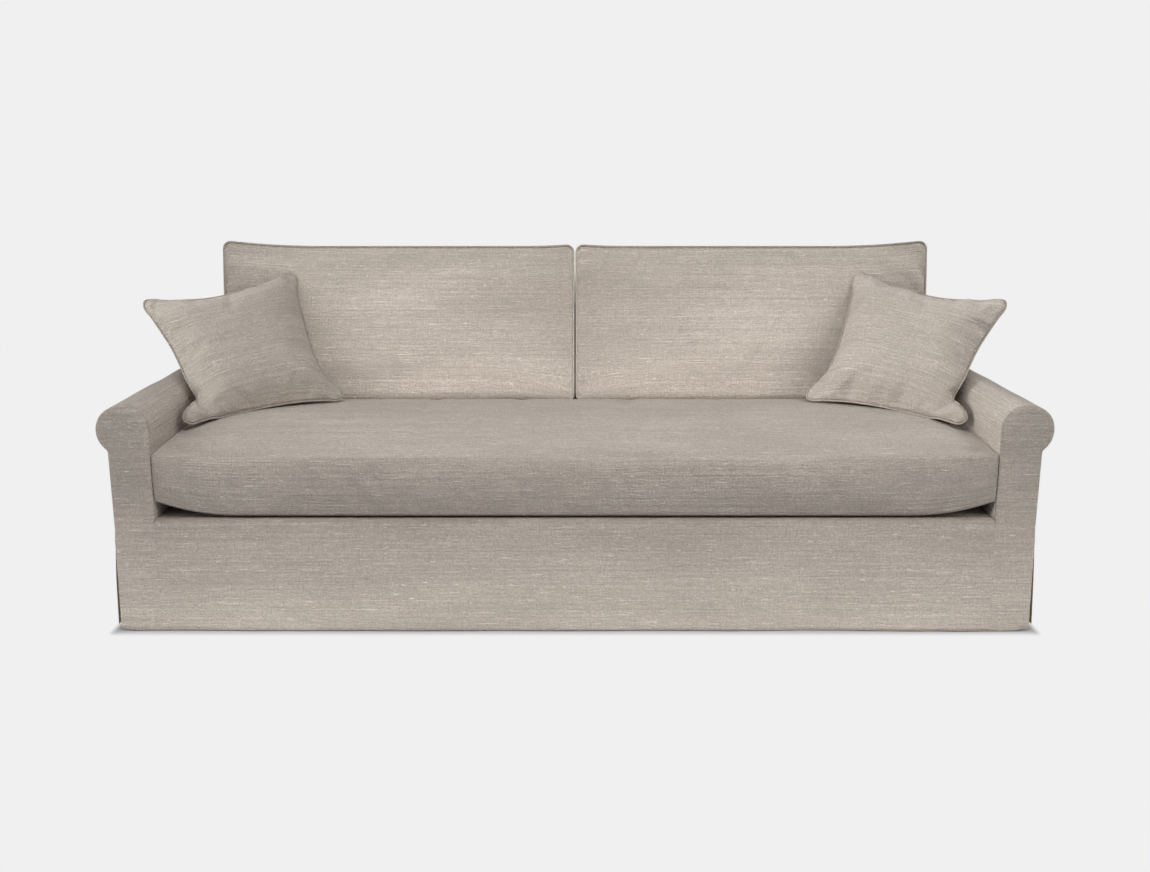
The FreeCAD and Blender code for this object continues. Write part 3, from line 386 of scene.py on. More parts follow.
# Nodes for materials
def add(tree, kind, inputs=None, **settings):
    """Adds one node with its settings. An input is a value, a socket, or a node for its first output."""
    node = tree.nodes.new(kind)
    for key, value in settings.items():
        setattr(node, key, value)
    for key, value in (inputs or {}).items():
        if isinstance(value, bpy.types.Node):
            value = value.outputs[0]
        if isinstance(value, bpy.types.NodeSocket):
            tree.links.new(value, node.inputs[key])
        else:
            node.inputs[key].default_value = value
    return node


def material(name, roughness, shader=None):
    """A material with its shader and output. Returns it with its tree and shader node."""
    made = bpy.data.materials.new(name)
    made.use_nodes = True
    tree = made.node_tree
    tree.nodes.clear()
    surface = add(tree, "ShaderNodeBsdfPrincipled", {"Roughness": roughness, **(shader or {})})
    add(tree, "ShaderNodeOutputMaterial", {"Surface": surface})
    return made, tree, surface


def tinted(tone, share, lift=0.0):
    """A linear colour made darker or lighter by a share, and lifted a little."""
    return tuple(min(1.0, v * share + lift) for v in tone[:3]) + (1.0,)


def drawn_out(axis, across, along):
    """The size of a spot that is drawn out along one axis."""
    size = [across] * 3
    size[axis] = along
    return size


def grain(tree, at, size, detail=2.0, roughness=0.6, slant=0.0):
    """Uneven tone from 0 to 1 whose spots have a real size, in metres along each axis of the coordinates."""
    turned = {"Vector": at, "Scale": [1 / s for s in size], "Rotation": (0, 0, slant)}
    sized = add(tree, "ShaderNodeMapping", turned)
    spots = {"Vector": sized, "Scale": 1.0, "Detail": detail, "Roughness": roughness}
    return add(tree, "ShaderNodeTexNoise", spots)


def dyed(tree, under, over, tone, low, high, most=1.0):
    """One colour with another laid over it where the tone rises from low to high, up to a share of most."""
    share = add(
        tree, "ShaderNodeMapRange", {"Value": tone, "From Min": low, "From Max": high, "To Max": most},
        interpolation_type="SMOOTHSTEP",
    )
    return add(tree, "ShaderNodeMix", {0: share, 6: under, 7: over}, data_type="RGBA").outputs[2]


def coat(tree, surface, shade, relief, depth, strength):
    """Gives a surface its colour and its relief, whose depth is in metres."""
    tree.links.new(shade, surface.inputs["Base Color"])
    bump = add(tree, "ShaderNodeBump", {"Height": relief, "Distance": depth, "Strength": strength})
    tree.links.new(bump.outputs[0], surface.inputs["Normal"])


# The weave's yarns: length along the weft, thickness across it (both in metres) and share of the tone.
# Real yarns lie 0.9 mm apart; they are drawn 4 to 5 mm thick so that they show at this distance. The first
# two and the last are shades that spread over many yarns.
YARNS = (
    (0.340, 0.1100, 0.28), (0.120, 0.0240, 0.12), (0.900, 0.0050, 0.32), (0.200, 0.0046, 0.22),
    (0.060, 0.0042, 0.24), (0.018, 0.0040, 0.36), (0.0048, 0.0044, 0.58), (0.0042, 0.0300, 0.22),
)
# Slubs and short nubs: length, thickness, detail and slant of their noise, the span of it in which they
# rise out of the cloth, and the tone that they add
SLUBS = ((0.075, 0.0050, 1.0, 0.004, 0.62, 0.76, 0.38), (0.020, 0.0062, 0.0, 0.0, 0.75, 0.86, 0.50))
# how strongly a tone under 0 darkens the cloth, and how strongly one over 0 turns it to the slubs' colour
SHADE_GAIN, SLUB_GAIN = 1.5, 1.8


def slub_cloth(name, colours):
    """Linen and cotton cloth woven from uneven yarns, unfinished: matt, with pale slubs along the weft."""
    made, tree, surface = material(
        name, 0.93, {"Sheen Weight": 0.12, "Sheen Roughness": 0.6, "Specular IOR Level": 0.2}
    )
    uv = add(tree, "ShaderNodeUVMap", uv_map="UVMap")
    # each yarn's noise lies round 0.5, and the tone round 0
    tone = -0.5 * sum(share for _, _, share in YARNS)
    for run, thick, share in YARNS:
        yarn = grain(tree, uv, (run, thick, 1), 0.0, 0.5)
        tone = add(tree, "ShaderNodeMath", {0: yarn, 1: share, 2: tone}, operation="MULTIPLY_ADD")
    for run, thick, detail, slant, low, high, lift in SLUBS:
        slub = grain(tree, uv, (run, thick, 1), detail, 0.5, slant)
        rise = add(
            tree, "ShaderNodeMapRange", {"Value": slub, "From Min": low, "From Max": high, "To Max": lift},
            interpolation_type="SMOOTHSTEP",
        )
        tone = add(tree, "ShaderNodeMath", {0: tone, 1: rise}, operation="ADD")
    pale = add(tree, "ShaderNodeMath", {0: tone, 1: SHADE_GAIN, 2: 1.0}, operation="MULTIPLY_ADD")
    raised = add(tree, "ShaderNodeMath", {0: tone, 1: SLUB_GAIN}, operation="MULTIPLY")
    shade = tuple(colours.shade)
    for share, over in ((pale, colours.cloth), (raised, colours.slub)):
        pair = {0: share, 6: shade, 7: tuple(over)}
        shade = add(tree, "ShaderNodeMix", pair, data_type="RGBA", clamp_factor=True).outputs[2]
    coat(tree, surface, shade, tone, 0.0034, 0.8)
    return made


def lining_cloth(name, tone):
    """Spun-bonded polypropylene lining: matt black, with the dimples its fibres are pressed together by."""
    made, tree, surface = material(name, 0.85, {"Specular IOR Level": 0.3})
    at = add(tree, "ShaderNodeTexCoord").outputs["Object"]
    dimple = add(tree, "ShaderNodeTexVoronoi", {"Vector": at, "Scale": 1 / 0.004})
    fibre = grain(tree, at, (0.002, 0.03, 0.02))
    shade = dyed(tree, tuple(tone), tinted(tone, 2.2, 0.01), fibre, 0.4, 0.7, 0.5)
    coat(tree, surface, shade, dimple, 0.0004, 0.7)
    return made


def canvas_cloth(name, dark, light):
    """Unbleached cotton duck over the springs: plain weave with husk specks."""
    made, tree, surface = material(name, 0.9)
    at = add(tree, "ShaderNodeTexCoord").outputs["Object"]
    warp = grain(tree, at, (0.0016, 0.03, 0.03), 1.0, 0.5)
    weft = grain(tree, at, (0.03, 0.0016, 0.0016), 1.0, 0.5)
    both = add(tree, "ShaderNodeMath", {0: warp, 1: weft}, operation="ADD")
    coat(tree, surface, dyed(tree, dark, light, both, 0.7, 1.3), both, 0.0005, 0.6)
    return made


def jute_webbing(name, tone):
    """Woven jute strap: coarse golden yarns with darker gaps between them."""
    made, tree, surface = material(name, 0.9)
    at = add(tree, "ShaderNodeTexCoord").outputs["Object"]
    coarse = {"Vector": at, "Scale": 1 / 0.022, "Distortion": 0.4}
    upright, level = (
        add(tree, "ShaderNodeTexWave", coarse, bands_direction=way).outputs["Fac"] for way in ("X", "Z")
    )
    yarns = add(tree, "ShaderNodeMath", {0: upright, 1: level}, operation="MULTIPLY")
    fibre = grain(tree, at, (0.002, 0.002, 0.02), 2.0, 0.7)
    dark = tinted(tone, 0.35)
    shade = dyed(tree, dark, tuple(tone), yarns, 0.05, 0.5)
    shade = dyed(tree, shade, dark, fibre, 0.4, 0.7, 0.35)
    coat(tree, surface, shade, yarns, 0.0008, 0.8)
    return made


def sawn_wood(name, tone, axis):
    """Kiln-dried poplar, sawn and unfinished: pale, with rings drawn out along the board."""
    made, tree, surface = material(name, 0.72)
    at = add(tree, "ShaderNodeTexCoord").outputs["Object"]
    rings = grain(tree, at, drawn_out(axis, 0.011, 0.26), 3.0)
    fibre = grain(tree, at, drawn_out(axis, 0.0011, 0.05))
    dark = tinted(tone, 0.52)
    shade = dyed(tree, tuple(tone), dark, rings, 0.40, 0.66, 0.75)
    shade = dyed(tree, shade, dark, fibre, 0.5, 0.8, 0.4)
    rough = add(tree, "ShaderNodeMath", {0: rings, 1: fibre}, operation="ADD")
    coat(tree, surface, shade, rough, 0.0005, 0.6)
    return made


def drawn_steel(name, tone, roughness, axis):
    """Zinc-plated or drawn steel: bright, with fine lines along the way it was drawn."""
    made, tree, surface = material(name, roughness, {"Metallic": 1.0})
    at = add(tree, "ShaderNodeTexCoord").outputs["Object"]
    lines = grain(tree, at, drawn_out(axis, 0.0009, 0.02))
    cloud = grain(tree, at, (0.02,) * 3)
    span = {"From Min": 0.3, "From Max": 0.7, "To Min": roughness - 0.08, "To Max": roughness + 0.12}
    gloss = add(tree, "ShaderNodeMapRange", {"Value": lines, **span}, interpolation_type="SMOOTHSTEP")
    tree.links.new(gloss.outputs[0], surface.inputs["Roughness"])
    coat(tree, surface, dyed(tree, tone, tinted(tone, 0.6), cloud, 0.35, 0.7), lines, 0.0002, 0.4)
    return made


def moulded_plastic(name, tone):
    """Injection-moulded polyethylene or nylon: a fine spark-eroded grain and paler scuffs."""
    made, tree, surface = material(name, 0.5)
    at = add(tree, "ShaderNodeTexCoord").outputs["Object"]
    fine = grain(tree, at, (0.0012,) * 3)
    scuff = grain(tree, at, (0.008,) * 3, 3.0, 0.7)
    coat(tree, surface, dyed(tree, tone, tinted(tone, 1.8, 0.01), scuff, 0.5, 0.75), fine, 0.0003, 0.5)
    return made


def zip_tape(name, tone):
    """Woven polyester zip tape: fine herringbone ribs along its length."""
    made, tree, surface = material(name, 0.8)
    at = add(tree, "ShaderNodeTexCoord").outputs["Object"]
    rib = add(
        tree, "ShaderNodeTexWave", {"Vector": at, "Scale": 1 / 0.012, "Distortion": 0.2}, bands_direction="Z"
    ).outputs["Fac"]
    fleck = grain(tree, at, (0.0015, 0.0015, 0.0008), 1.0, 0.5)
    coat(tree, surface, dyed(tree, tone, tinted(tone, 0.6), fleck, 0.35, 0.65, 0.5), rib, 0.0003, 0.6)
    return made


# Geometry Nodes for what follows a path
def path_object(name, points, closed):
    """A mesh of edges through points, for a node tree to follow."""
    data = bpy.data.meshes.new(name)
    count = len(points)
    edges = [(k, k + 1) for k in range(count - 1)] + ([(count - 1, 0)] if closed else [])
    data.from_pydata([tuple(p) for p in points], edges, [])
    obj = bpy.data.objects.new(name, data)
    bpy.context.scene.collection.objects.link(obj)
    return obj


def new_tree(name, sockets):
    """An empty node group with a geometry input and output and the given named inputs."""
    tree = bpy.data.node_groups.new(name, "GeometryNodeTree")
    tree.interface.new_socket("Geometry", in_out="INPUT", socket_type="NodeSocketGeometry")
    for label, kind, default in sockets:
        socket = tree.interface.new_socket(label, in_out="INPUT", socket_type=kind)
        if default is not None:
            socket.default_value = default
    tree.interface.new_socket("Geometry", in_out="OUTPUT", socket_type="NodeSocketGeometry")
    return tree


def end_tree(tree, geometry, source):
    solid = add(tree, "GeometryNodeRealizeInstances", {"Geometry": geometry})
    finished = add(tree, "GeometryNodeSetMaterial", {"Geometry": solid, "Material": source["Material"]})
    add(tree, "NodeGroupOutput", {"Geometry": finished})


def welt_tree():
    """A cord covered in cloth: a round tube along the path, its UV map in metres along and round it."""
    tree = new_tree(
        "welt",
        [
            ("Radius", "NodeSocketFloat", 0.0028), ("Sides", "NodeSocketInt", 10),
            ("Material", "NodeSocketMaterial", None),
        ],
    )
    source = add(tree, "NodeGroupInput").outputs
    path = add(tree, "GeometryNodeMeshToCurve", {"Mesh": source["Geometry"]})
    circle = {"Resolution": source["Sides"], "Radius": source["Radius"]}
    ring = add(tree, "GeometryNodeCurvePrimitiveCircle", circle)
    measured = []
    for curve in (path, ring):
        run = add(tree, "GeometryNodeSplineParameter").outputs["Length"]
        measure = add(tree, "GeometryNodeCaptureAttribute", domain="POINT")
        measure.capture_items.new("FLOAT", "run")
        tree.links.new(curve.outputs[0], measure.inputs["Geometry"])
        tree.links.new(run, measure.inputs[1])
        measured.append(measure.outputs)
    along, around = measured
    tube = add(tree, "GeometryNodeCurveToMesh", {"Curve": along[0], "Profile Curve": around[0]})
    uv = add(tree, "ShaderNodeCombineXYZ", {"X": along[1], "Y": around[1]})
    mapped = add(
        tree, "GeometryNodeStoreNamedAttribute", {"Geometry": tube, "Name": "UVMap", "Value": uv},
        data_type="FLOAT2", domain="CORNER",
    )
    smooth = add(tree, "GeometryNodeSetShadeSmooth", {"Geometry": mapped})
    end_tree(tree, smooth, source)
    return tree


def stitch_tree():
    """Stitches along a path: small rounded bars, evenly spaced, each a little uneven."""
    tree = new_tree(
        "stitches",
        [
            ("Pitch", "NodeSocketFloat", 0.0045), ("Length", "NodeSocketFloat", 0.0032),
            ("Radius", "NodeSocketFloat", 0.0004), ("Seed", "NodeSocketInt", 3),
            ("Material", "NodeSocketMaterial", None),
        ],
    )
    source = add(tree, "NodeGroupInput").outputs
    path = add(tree, "GeometryNodeMeshToCurve", {"Mesh": source["Geometry"]})
    spaced = add(tree, "GeometryNodeResampleCurve", {"Curve": path, "Length": source["Pitch"]}, mode="LENGTH")
    bar = add(tree, "GeometryNodeMeshUVSphere", {"Segments": 6, "Rings": 4, "Radius": 1.0})
    half = add(tree, "ShaderNodeMath", {0: source["Length"], 1: 0.5}, operation="MULTIPLY")
    size = add(tree, "ShaderNodeCombineXYZ", {"X": source["Radius"], "Y": source["Radius"], "Z": half})
    tangent = add(tree, "GeometryNodeInputTangent")
    turned = add(tree, "FunctionNodeAlignRotationToVector", {"Vector": tangent}, axis="Z")
    spread = {"Min": (0.9, 0.9, 0.92), "Max": (1.1, 1.1, 1.04), "Seed": source["Seed"]}
    uneven = add(tree, "FunctionNodeRandomValue", spread, data_type="FLOAT_VECTOR")
    scale = add(tree, "ShaderNodeVectorMath", {0: size, 1: uneven}, operation="MULTIPLY")
    placed = {"Points": spaced, "Instance": bar, "Rotation": turned, "Scale": scale}
    set_out = add(tree, "GeometryNodeInstanceOnPoints", placed)
    end_tree(tree, set_out, source)
    return tree


def tree_piece(name, tree, points, closed, **values):
    """Runs a node tree along a path and returns the result as a plain mesh object."""
    path = path_object(name + "_path", points, closed)
    modifier = path.modifiers.new("nodes", "NODES")
    modifier.node_group = tree
    for item in tree.interface.items_tree:
        if item.in_out == "INPUT" and item.name in values:
            modifier[item.identifier] = values[item.name]
    graph = bpy.context.evaluated_depsgraph_get()
    data = bpy.data.meshes.new_from_object(path.evaluated_get(graph), depsgraph=graph)
    bpy.data.objects.remove(path)
    data.name = name
    obj = bpy.data.objects.new(name, data)
    bpy.context.scene.collection.objects.link(obj)
    return obj


# Radius of the deck's front edge
DECK_EDGE = 0.015


# Places that several pieces share
class Body:
    """Faces of the sofa's body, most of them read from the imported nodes."""

    front_face = -0.4825
    back_face = 0.4825
    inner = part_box("front_panel")[1].x
    outer = 1.193
    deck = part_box("deck_cover")[1].z
    deck_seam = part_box("deck_cover")[0].y
    deck_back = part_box("deck_cover")[1].y
    # the cloth hangs 6 mm lower than the panel's solid, as its hem drops with its weight
    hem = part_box("front_panel")[0].z - 0.006
    back_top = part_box("inside_back_cover")[1].z
    arm_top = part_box("right_arm_cover")[1].z


def inside_back(z, lean):
    return Body.deck_back + (z - Body.deck) * math.tan(lean)


def roll(sizes):
    """The roll's centre, and how far outwards and down from it the centre of the hollow under it lies."""
    centre = (Body.inner + sizes.roll_radius, Body.arm_top - sizes.roll_radius)
    reach = Body.outer + sizes.roll_hollow - centre[0]
    drop = math.sqrt((sizes.roll_radius + sizes.roll_hollow) ** 2 - reach**2)
    return centre, reach, drop


def deck_turn_heights():
    """Heights over the rounding of the deck's front edge, rising from the front panel to the deck."""
    return Body.deck - DECK_EDGE * (1 - np.cos(np.linspace(math.pi / 2, 0, 7)))


def arc(x, z, radius, turns):
    """Points (x, z) on a circle at the given turns."""
    return [(x + radius * math.cos(t), z + radius * math.sin(t)) for t in turns]


def arm_outline(sizes, low_outer, step):
    """The right arm's outline as (x, z) points, from its inner foot over the roll to its outer foot."""
    (cx, cz), reach, drop = roll(sizes)
    radius, hollow = sizes.roll_radius, sizes.roll_hollow
    rise = np.linspace(Body.deck, cz, max(2, int((cz - Body.deck) / step)))
    inner = [(Body.inner, z) for z in np.concatenate((deck_turn_heights()[:-1], rise))]
    end = -math.atan2(drop, reach)
    turns = np.linspace(math.pi, end, int((math.pi - end) * radius / (step * 0.6)))[1:]
    over = arc(cx, cz, radius, turns)
    hz = cz - drop
    under = arc(Body.outer + hollow, hz, hollow, np.linspace(math.atan2(drop, -reach), math.pi, 5)[1:])
    side = [(Body.outer, z) for z in np.linspace(hz, low_outer, max(2, int((hz - low_outer) / step)))[1:]]
    return np.array(inner + over), np.array(over[-1:] + under + side)


# The slipcover
def front_edge(sizes, x, z):
    """Rounding of the arm's front edge at a place on its outline, and none below the deck or the vent."""
    (cx, cz), _, _ = roll(sizes)
    share = float(smooth_step(x, Body.inner + 0.02, cx + sizes.roll_radius * 0.6))
    rounding = sizes.edge_round + (sizes.outer_round - sizes.edge_round) * share
    if share < 0.5:
        # beside the deck's own front edge it follows that edge's rounding
        rise = min(max((z - Body.deck + DECK_EDGE) / DECK_EDGE, 0.0), 1.0)
        return rounding * (1 - math.sqrt(1 - rise**2))
    return rounding * float(smooth_step(z, sizes.vent_top - 0.001, sizes.vent_top + 0.03))


def hem_share(sizes, z):
    """How far down a flap is, from 0 at the vents' top to 1 at the hem."""
    return np.clip((sizes.vent_top - z) / (sizes.vent_top - Body.hem), 0, 1)


# spacing of points round an arm's outline, their number over its depth, and how much higher than the front's
# the side hem hangs
OUTLINE_STEP, DEPTH_POINTS, SIDE_HEM_LIFT = 0.012, 68, 0.009


def arm_cover_patches(sizes):
    """The right arm's cover, from the deck over the roll to the seam under it, and its outside panel."""
    over, side = arm_outline(sizes, Body.hem + SIDE_HEM_LIFT, OUTLINE_STEP)
    far = -(Body.front_face + sizes.edge_round)
    cover = []
    for x, z in over:
        near = Body.front_face + front_edge(sizes, x, z)
        cover.append([(x, y, z) for y in np.linspace(near, far, DEPTH_POINTS)])
    wall = []
    for x, z in side:
        share = hem_share(sizes, z)
        near = Body.front_face + front_edge(sizes, x, z)
        rear = far
        if share > 0:
            near = Body.front_face + sizes.flap_set_back * min(1.0, share * 12)
            near += (sizes.flap_hem_set_back - sizes.flap_set_back) * share
            rear = -near
        # the flap leaves the side quickly and then falls almost straight
        out = sizes.side_flare * share**0.5
        wall.append([(x + out, y, z) for y in np.linspace(near, rear, DEPTH_POINTS)])
    return np.array(cover), np.array(wall)


def front_heights(sizes):
    """Heights from the hem to the deck edge's rounding that the front panel and arm fronts share."""
    low = np.linspace(Body.hem, sizes.vent_top, 21)
    return np.concatenate((low, np.linspace(sizes.vent_top, Body.deck - DECK_EDGE, 5)[1:]))


# An arm's end panel: its rings' distances from the edge, as shares of the rounding and then in metres,
# how far its middle stands out and over what distance it rises to that
RING_SHARES, RING_DEPTHS = (0.0, 0.045, 0.165, 0.35, 0.6, 1.0), (0.026, 0.038)
END_PUFF, PUFF_REACH = 0.0016, 0.048
# its hem is drawn up by this much at the vent, less so over this distance
VENT_LIFT, LIFT_REACH = 0.007, 0.045
# the rear ends lie this much inside the outside back
REAR_END_IN = 0.0006


def arm_front_grid(sizes, rear=False):
    """The arm's end panel as rings from its rounded edge to its middle line.

    The rear one is only the roll and its neck, since the back's panel covers the rest."""
    (cx, cz), reach, drop = roll(sizes)
    under = cz - drop
    middle = (Body.inner + Body.outer) / 2
    neck = under - 0.002
    low = under - 0.060 if rear else Body.hem
    heights = [] if rear else list(front_heights(sizes)) + list(deck_turn_heights()[1:])
    start = heights[-1] if heights else low
    rise = np.linspace(start, neck, max(3, int((neck - start) / OUTLINE_STEP)))
    heights = np.array(heights + list(rise[1:] if heights else rise))
    spine = [np.array((middle, neck)) + np.array((cx - middle, cz - neck)) * t for t in np.linspace(0, 1, 7)]
    left = [((Body.inner, z), (middle, z)) for z in heights]
    left += [((Body.inner, z), core) for z, core in zip(np.linspace(neck, cz, 7)[1:], spine[1:])]
    end = -math.atan2(drop, reach)
    outer = arc(cx, cz, sizes.roll_radius, np.linspace(math.pi, end, 36)[1:])
    turns = np.linspace(math.atan2(drop, -reach), math.pi, 4)[1:]
    outer += arc(Body.outer + sizes.roll_hollow, under, sizes.roll_hollow, turns)
    cores = [spine[-1]] * (len(outer) - 6) + spine[-2::-1]
    pairs = left + list(zip(outer, cores)) + [((Body.outer, z), (middle, z)) for z in heights[::-1]]
    face, way = (Body.back_face - REAR_END_IN, -1) if rear else (Body.front_face, 1)
    grid = []
    for edge, core in pairs:
        edge, core = np.array(edge), np.array(core)
        span = np.linalg.norm(core - edge)
        rounding = sizes.edge_round if rear else front_edge(sizes, edge[0], edge[1])
        depths = np.concatenate((np.array(RING_SHARES) * max(rounding, 0.004), RING_DEPTHS))
        row = []
        for d in np.append(depths, span):
            x, z = edge + (core - edge) * (min(d, span) / span)
            turn_in = max(0.0, rounding - d)
            back = rounding - math.sqrt(max(rounding**2 - turn_in**2, 0.0))
            puff = END_PUFF * math.sin(math.pi / 2 * min(d / PUFF_REACH, 1.0))
            hung = hem_share(sizes, z)
            lift = VENT_LIFT * hung * float(smooth_step(x, Body.outer - LIFT_REACH, Body.outer))
            row.append((x, face + way * (back - sizes.front_flare * hung - puff), z + lift))
        grid.append(row)
    return np.array(grid)


def rounded_face(sizes, half, low, high, cells, rows):
    """X, Z and the set-back of a face whose sides and top are rounded over."""
    turns = np.sin(np.linspace(0, math.pi / 2, 6)[1:])
    r = sizes.edge_round
    x_core = np.linspace(r - half, half - r, cells + 1)
    x_core = np.concatenate((np.full(5, r - half), x_core, np.full(5, half - r)))
    x_turn = np.concatenate((-turns[::-1], np.zeros(cells + 1), turns))
    z_core = np.concatenate((np.linspace(low, high - r, rows + 1), np.full(5, high - r)))
    z_turn = np.concatenate((np.zeros(rows + 1), turns))
    sx, sz = np.meshgrid(x_turn, z_turn, indexing="ij")
    dx, dz = sx * np.sqrt(1 - sz**2 / 2), sz * np.sqrt(1 - sx**2 / 2)
    lift = r * (1 - np.sqrt(np.clip(1 - dx**2 - dz**2, 0, 1)))
    return x_core[:, None] + r * dx, z_core[None, :] + r * dz, lift


def front_panel_grid(sizes):
    """From the deck seam over the front edge and down to the hem."""
    face, deck = Body.front_face, Body.deck
    turns = np.linspace(0, math.pi / 2, 7)
    outline = [(y, deck) for y in np.linspace(Body.deck_seam, face + DECK_EDGE, 4)[:-1]]
    outline += [
        (face + DECK_EDGE * (1 - math.sin(t)), deck - DECK_EDGE * (1 - math.cos(t))) for t in turns[:-1]
    ]
    outline += [(face - sizes.front_flare * hem_share(sizes, z), z) for z in front_heights(sizes)[::-1]]
    xs = stations(Body.inner, 158, (0.0, 0.004))
    return np.array([[(x, y, z) for y, z in outline] for x in xs])


def toward_hem(found):
    """Share of the unevenness at each point, growing from the deck to the hem."""
    return np.clip((Body.deck - found[:, 2]) / (Body.deck - Body.hem), 0, 1) ** 1.3


def between_vents(found):
    """The same on a side panel, and none at its vents."""
    return toward_hem(found) * smooth_step(0.47 - np.abs(found[:, 1]), 0.0, 0.12)


# Ripples: height, length, seed, share and stretch along each axis. The front's panels hang as one.
FRONT_RIPPLES = (
    (0.0065, 0.34, 2, toward_hem, (1.0, 0.3, 0.5)),
    (0.0022, 0.09, 3, toward_hem, (1.0, 0.3, 0.45)),
)


def cover_piece(name, patches, ripples, *nodes):
    """Sews one panel of the cover, makes it uneven, thickens it and hides its CAD nodes."""
    scene = bpy.context.scene
    piece = sew(name, patches, scene["cloth"])
    for one in ripples:
        ripple(piece, *one)
    thicken(piece, scene.sofa_sizes.cloth)
    finish_piece(piece, "frame", "slipcover_fabric", *nodes)
    return piece


def make_deck():
    """The deck's cover under the seat cushion, tucked in beside the arms and the back."""
    xs = np.linspace(-Body.inner - 0.002, Body.inner + 0.002, 90)
    ys = np.linspace(Body.deck_seam, Body.deck_back + 0.02, 30)
    grid = np.array([[(x, y, Body.deck) for y in ys] for x in xs])
    piece = cover_piece(
        "deck_cloth", [flat_patch(grid, (0, 0, 1), 0, 1)], [(0.0008, 0.15, 1)],
        "deck_cover", "deck_pad", "front_edge_roll",
    )


def make_front(sizes):
    """The front panel, which falls from the deck's front edge to the floor."""
    grid = front_panel_grid(sizes)
    piece = cover_piece("front_panel_cloth", [patch(grid, (0, -1, 0.2))], FRONT_RIPPLES, "front_panel")


def make_arms(sizes):
    """Each arm's cover, its outside panel with the side flap, and its end panel."""
    cover, wall = arm_cover_patches(sizes)
    front = arm_front_grid(sizes)
    for side, way in SIDES:
        piece = cover_piece(
            side + "_arm_cloth", [on_side(way, patch(cover, (-0.2, 0, 1), 1))],
            [(0.0022, 0.16, 4 + way), (0.0009, 0.05, 6 + way, None, (1.0, 0.5, 1.0))],
            side + "_arm_cover", side + "_arm_pad",
        )
        piece = cover_piece(
            side + "_side_cloth", [on_side(way, patch(wall, (1, 0, 0), 1))],
            [(0.0055, 0.30, 8 + way, between_vents, (0.3, 1.0, 0.5)), (0.0010, 0.10, 10 + way)],
            side + "_side_panel",
        )
        piece = cover_piece(
            side + "_arm_front_cloth", [on_side(way, flat_patch(front, (0, -1, 0), 0, 2))], FRONT_RIPPLES,
            side + "_arm_front_panel",
        )


def make_inside_back(sizes):
    """The leaning inside back with the strip over its top and ends that meets the outside back."""
    x, z, lift = rounded_face(sizes, Body.outer, Body.deck, Body.back_top, 110, 34)
    # under the arms' rolls its ends are tucked in
    tuck = 0.008 * (1 - smooth_step(z, 0.57, 0.60))
    x = x - np.sign(x) * np.where(np.abs(x) > Body.inner, tuck, 0)
    face = np.stack((x, inside_back(z, sizes.back_lean) + lift, z), -1)
    loop = np.concatenate((face[0, :-1], face[:, -1], face[-1, -2::-1]))
    flat = loop.copy()
    flat[:, 1] = -(Body.front_face + sizes.edge_round)
    share = np.linspace(0, 1, 5)[None, :, None]
    strip = loop[:, None] * (1 - share) + flat[:, None] * share
    piece = cover_piece(
        "inside_back_cloth", [patch(face, (0, -1, 0.2)), patch(strip, (0, 0, 1))], [(0.0018, 0.22, 15)],
        "inside_back_cover", "inside_back_pad",
    )


def make_outside_back(sizes):
    """The outside back, which falls to the floor, with the ends of both arms' rolls."""
    x, z, lift = rounded_face(sizes, Body.outer, Body.hem, Body.back_top, 120, 56)
    lift = lift * smooth_step(z, sizes.vent_top - 0.004, sizes.vent_top + 0.02)
    face = np.stack((x, Body.back_face - lift + sizes.front_flare * hem_share(sizes, z), z), -1)
    end = flat_patch(arm_front_grid(sizes, rear=True), (0, 1, 0), 0, 2)
    piece = cover_piece(
        "outside_back_cloth", [patch(face, (0, 1, 0)), end, on_side(-1, end)],
        [(0.0060, 0.32, 16, toward_hem, (1.0, 0.3, 0.5)), (0.0014, 0.20, 17)], "outside_back_panel",
    )


class SOFA_OT_slipcover(bpy.types.Operator):
    """Makes the fixed cover: deck, front, arms, outside panels and back, with their hems"""

    bl_idname = "sofa.slipcover"
    bl_label = "Slipcover"

    def execute(self, context):
        sizes = context.scene.sofa_sizes
        context.scene["cloth"] = slub_cloth("linen_blend_slub_weave", context.scene.sofa_colours)
        make_deck()
        make_front(sizes)
        make_arms(sizes)
        make_inside_back(sizes)
        make_outside_back(sizes)
        return {"FINISHED"}


# The seat cushion: half its length, its front and rear seams' places, the upper seam's height and how far
# the front bows out between its ends
SEAT_HALF, SEAT_FRONT, SEAT_REAR, SEAT_SEAM, SEAT_BOW = 1.0879, -0.4675, 0.338, 0.470, 0.005
# the bottom turns up to its seams over this distance
SEAT_UNDER = 0.110
# how far from its seam the filling softens the front's upper edge: along the top, down the front, and rounds
SOFT_DEPTH, SOFT_HEIGHT, SOFT_ROUNDS = 0.034, 0.036, 7


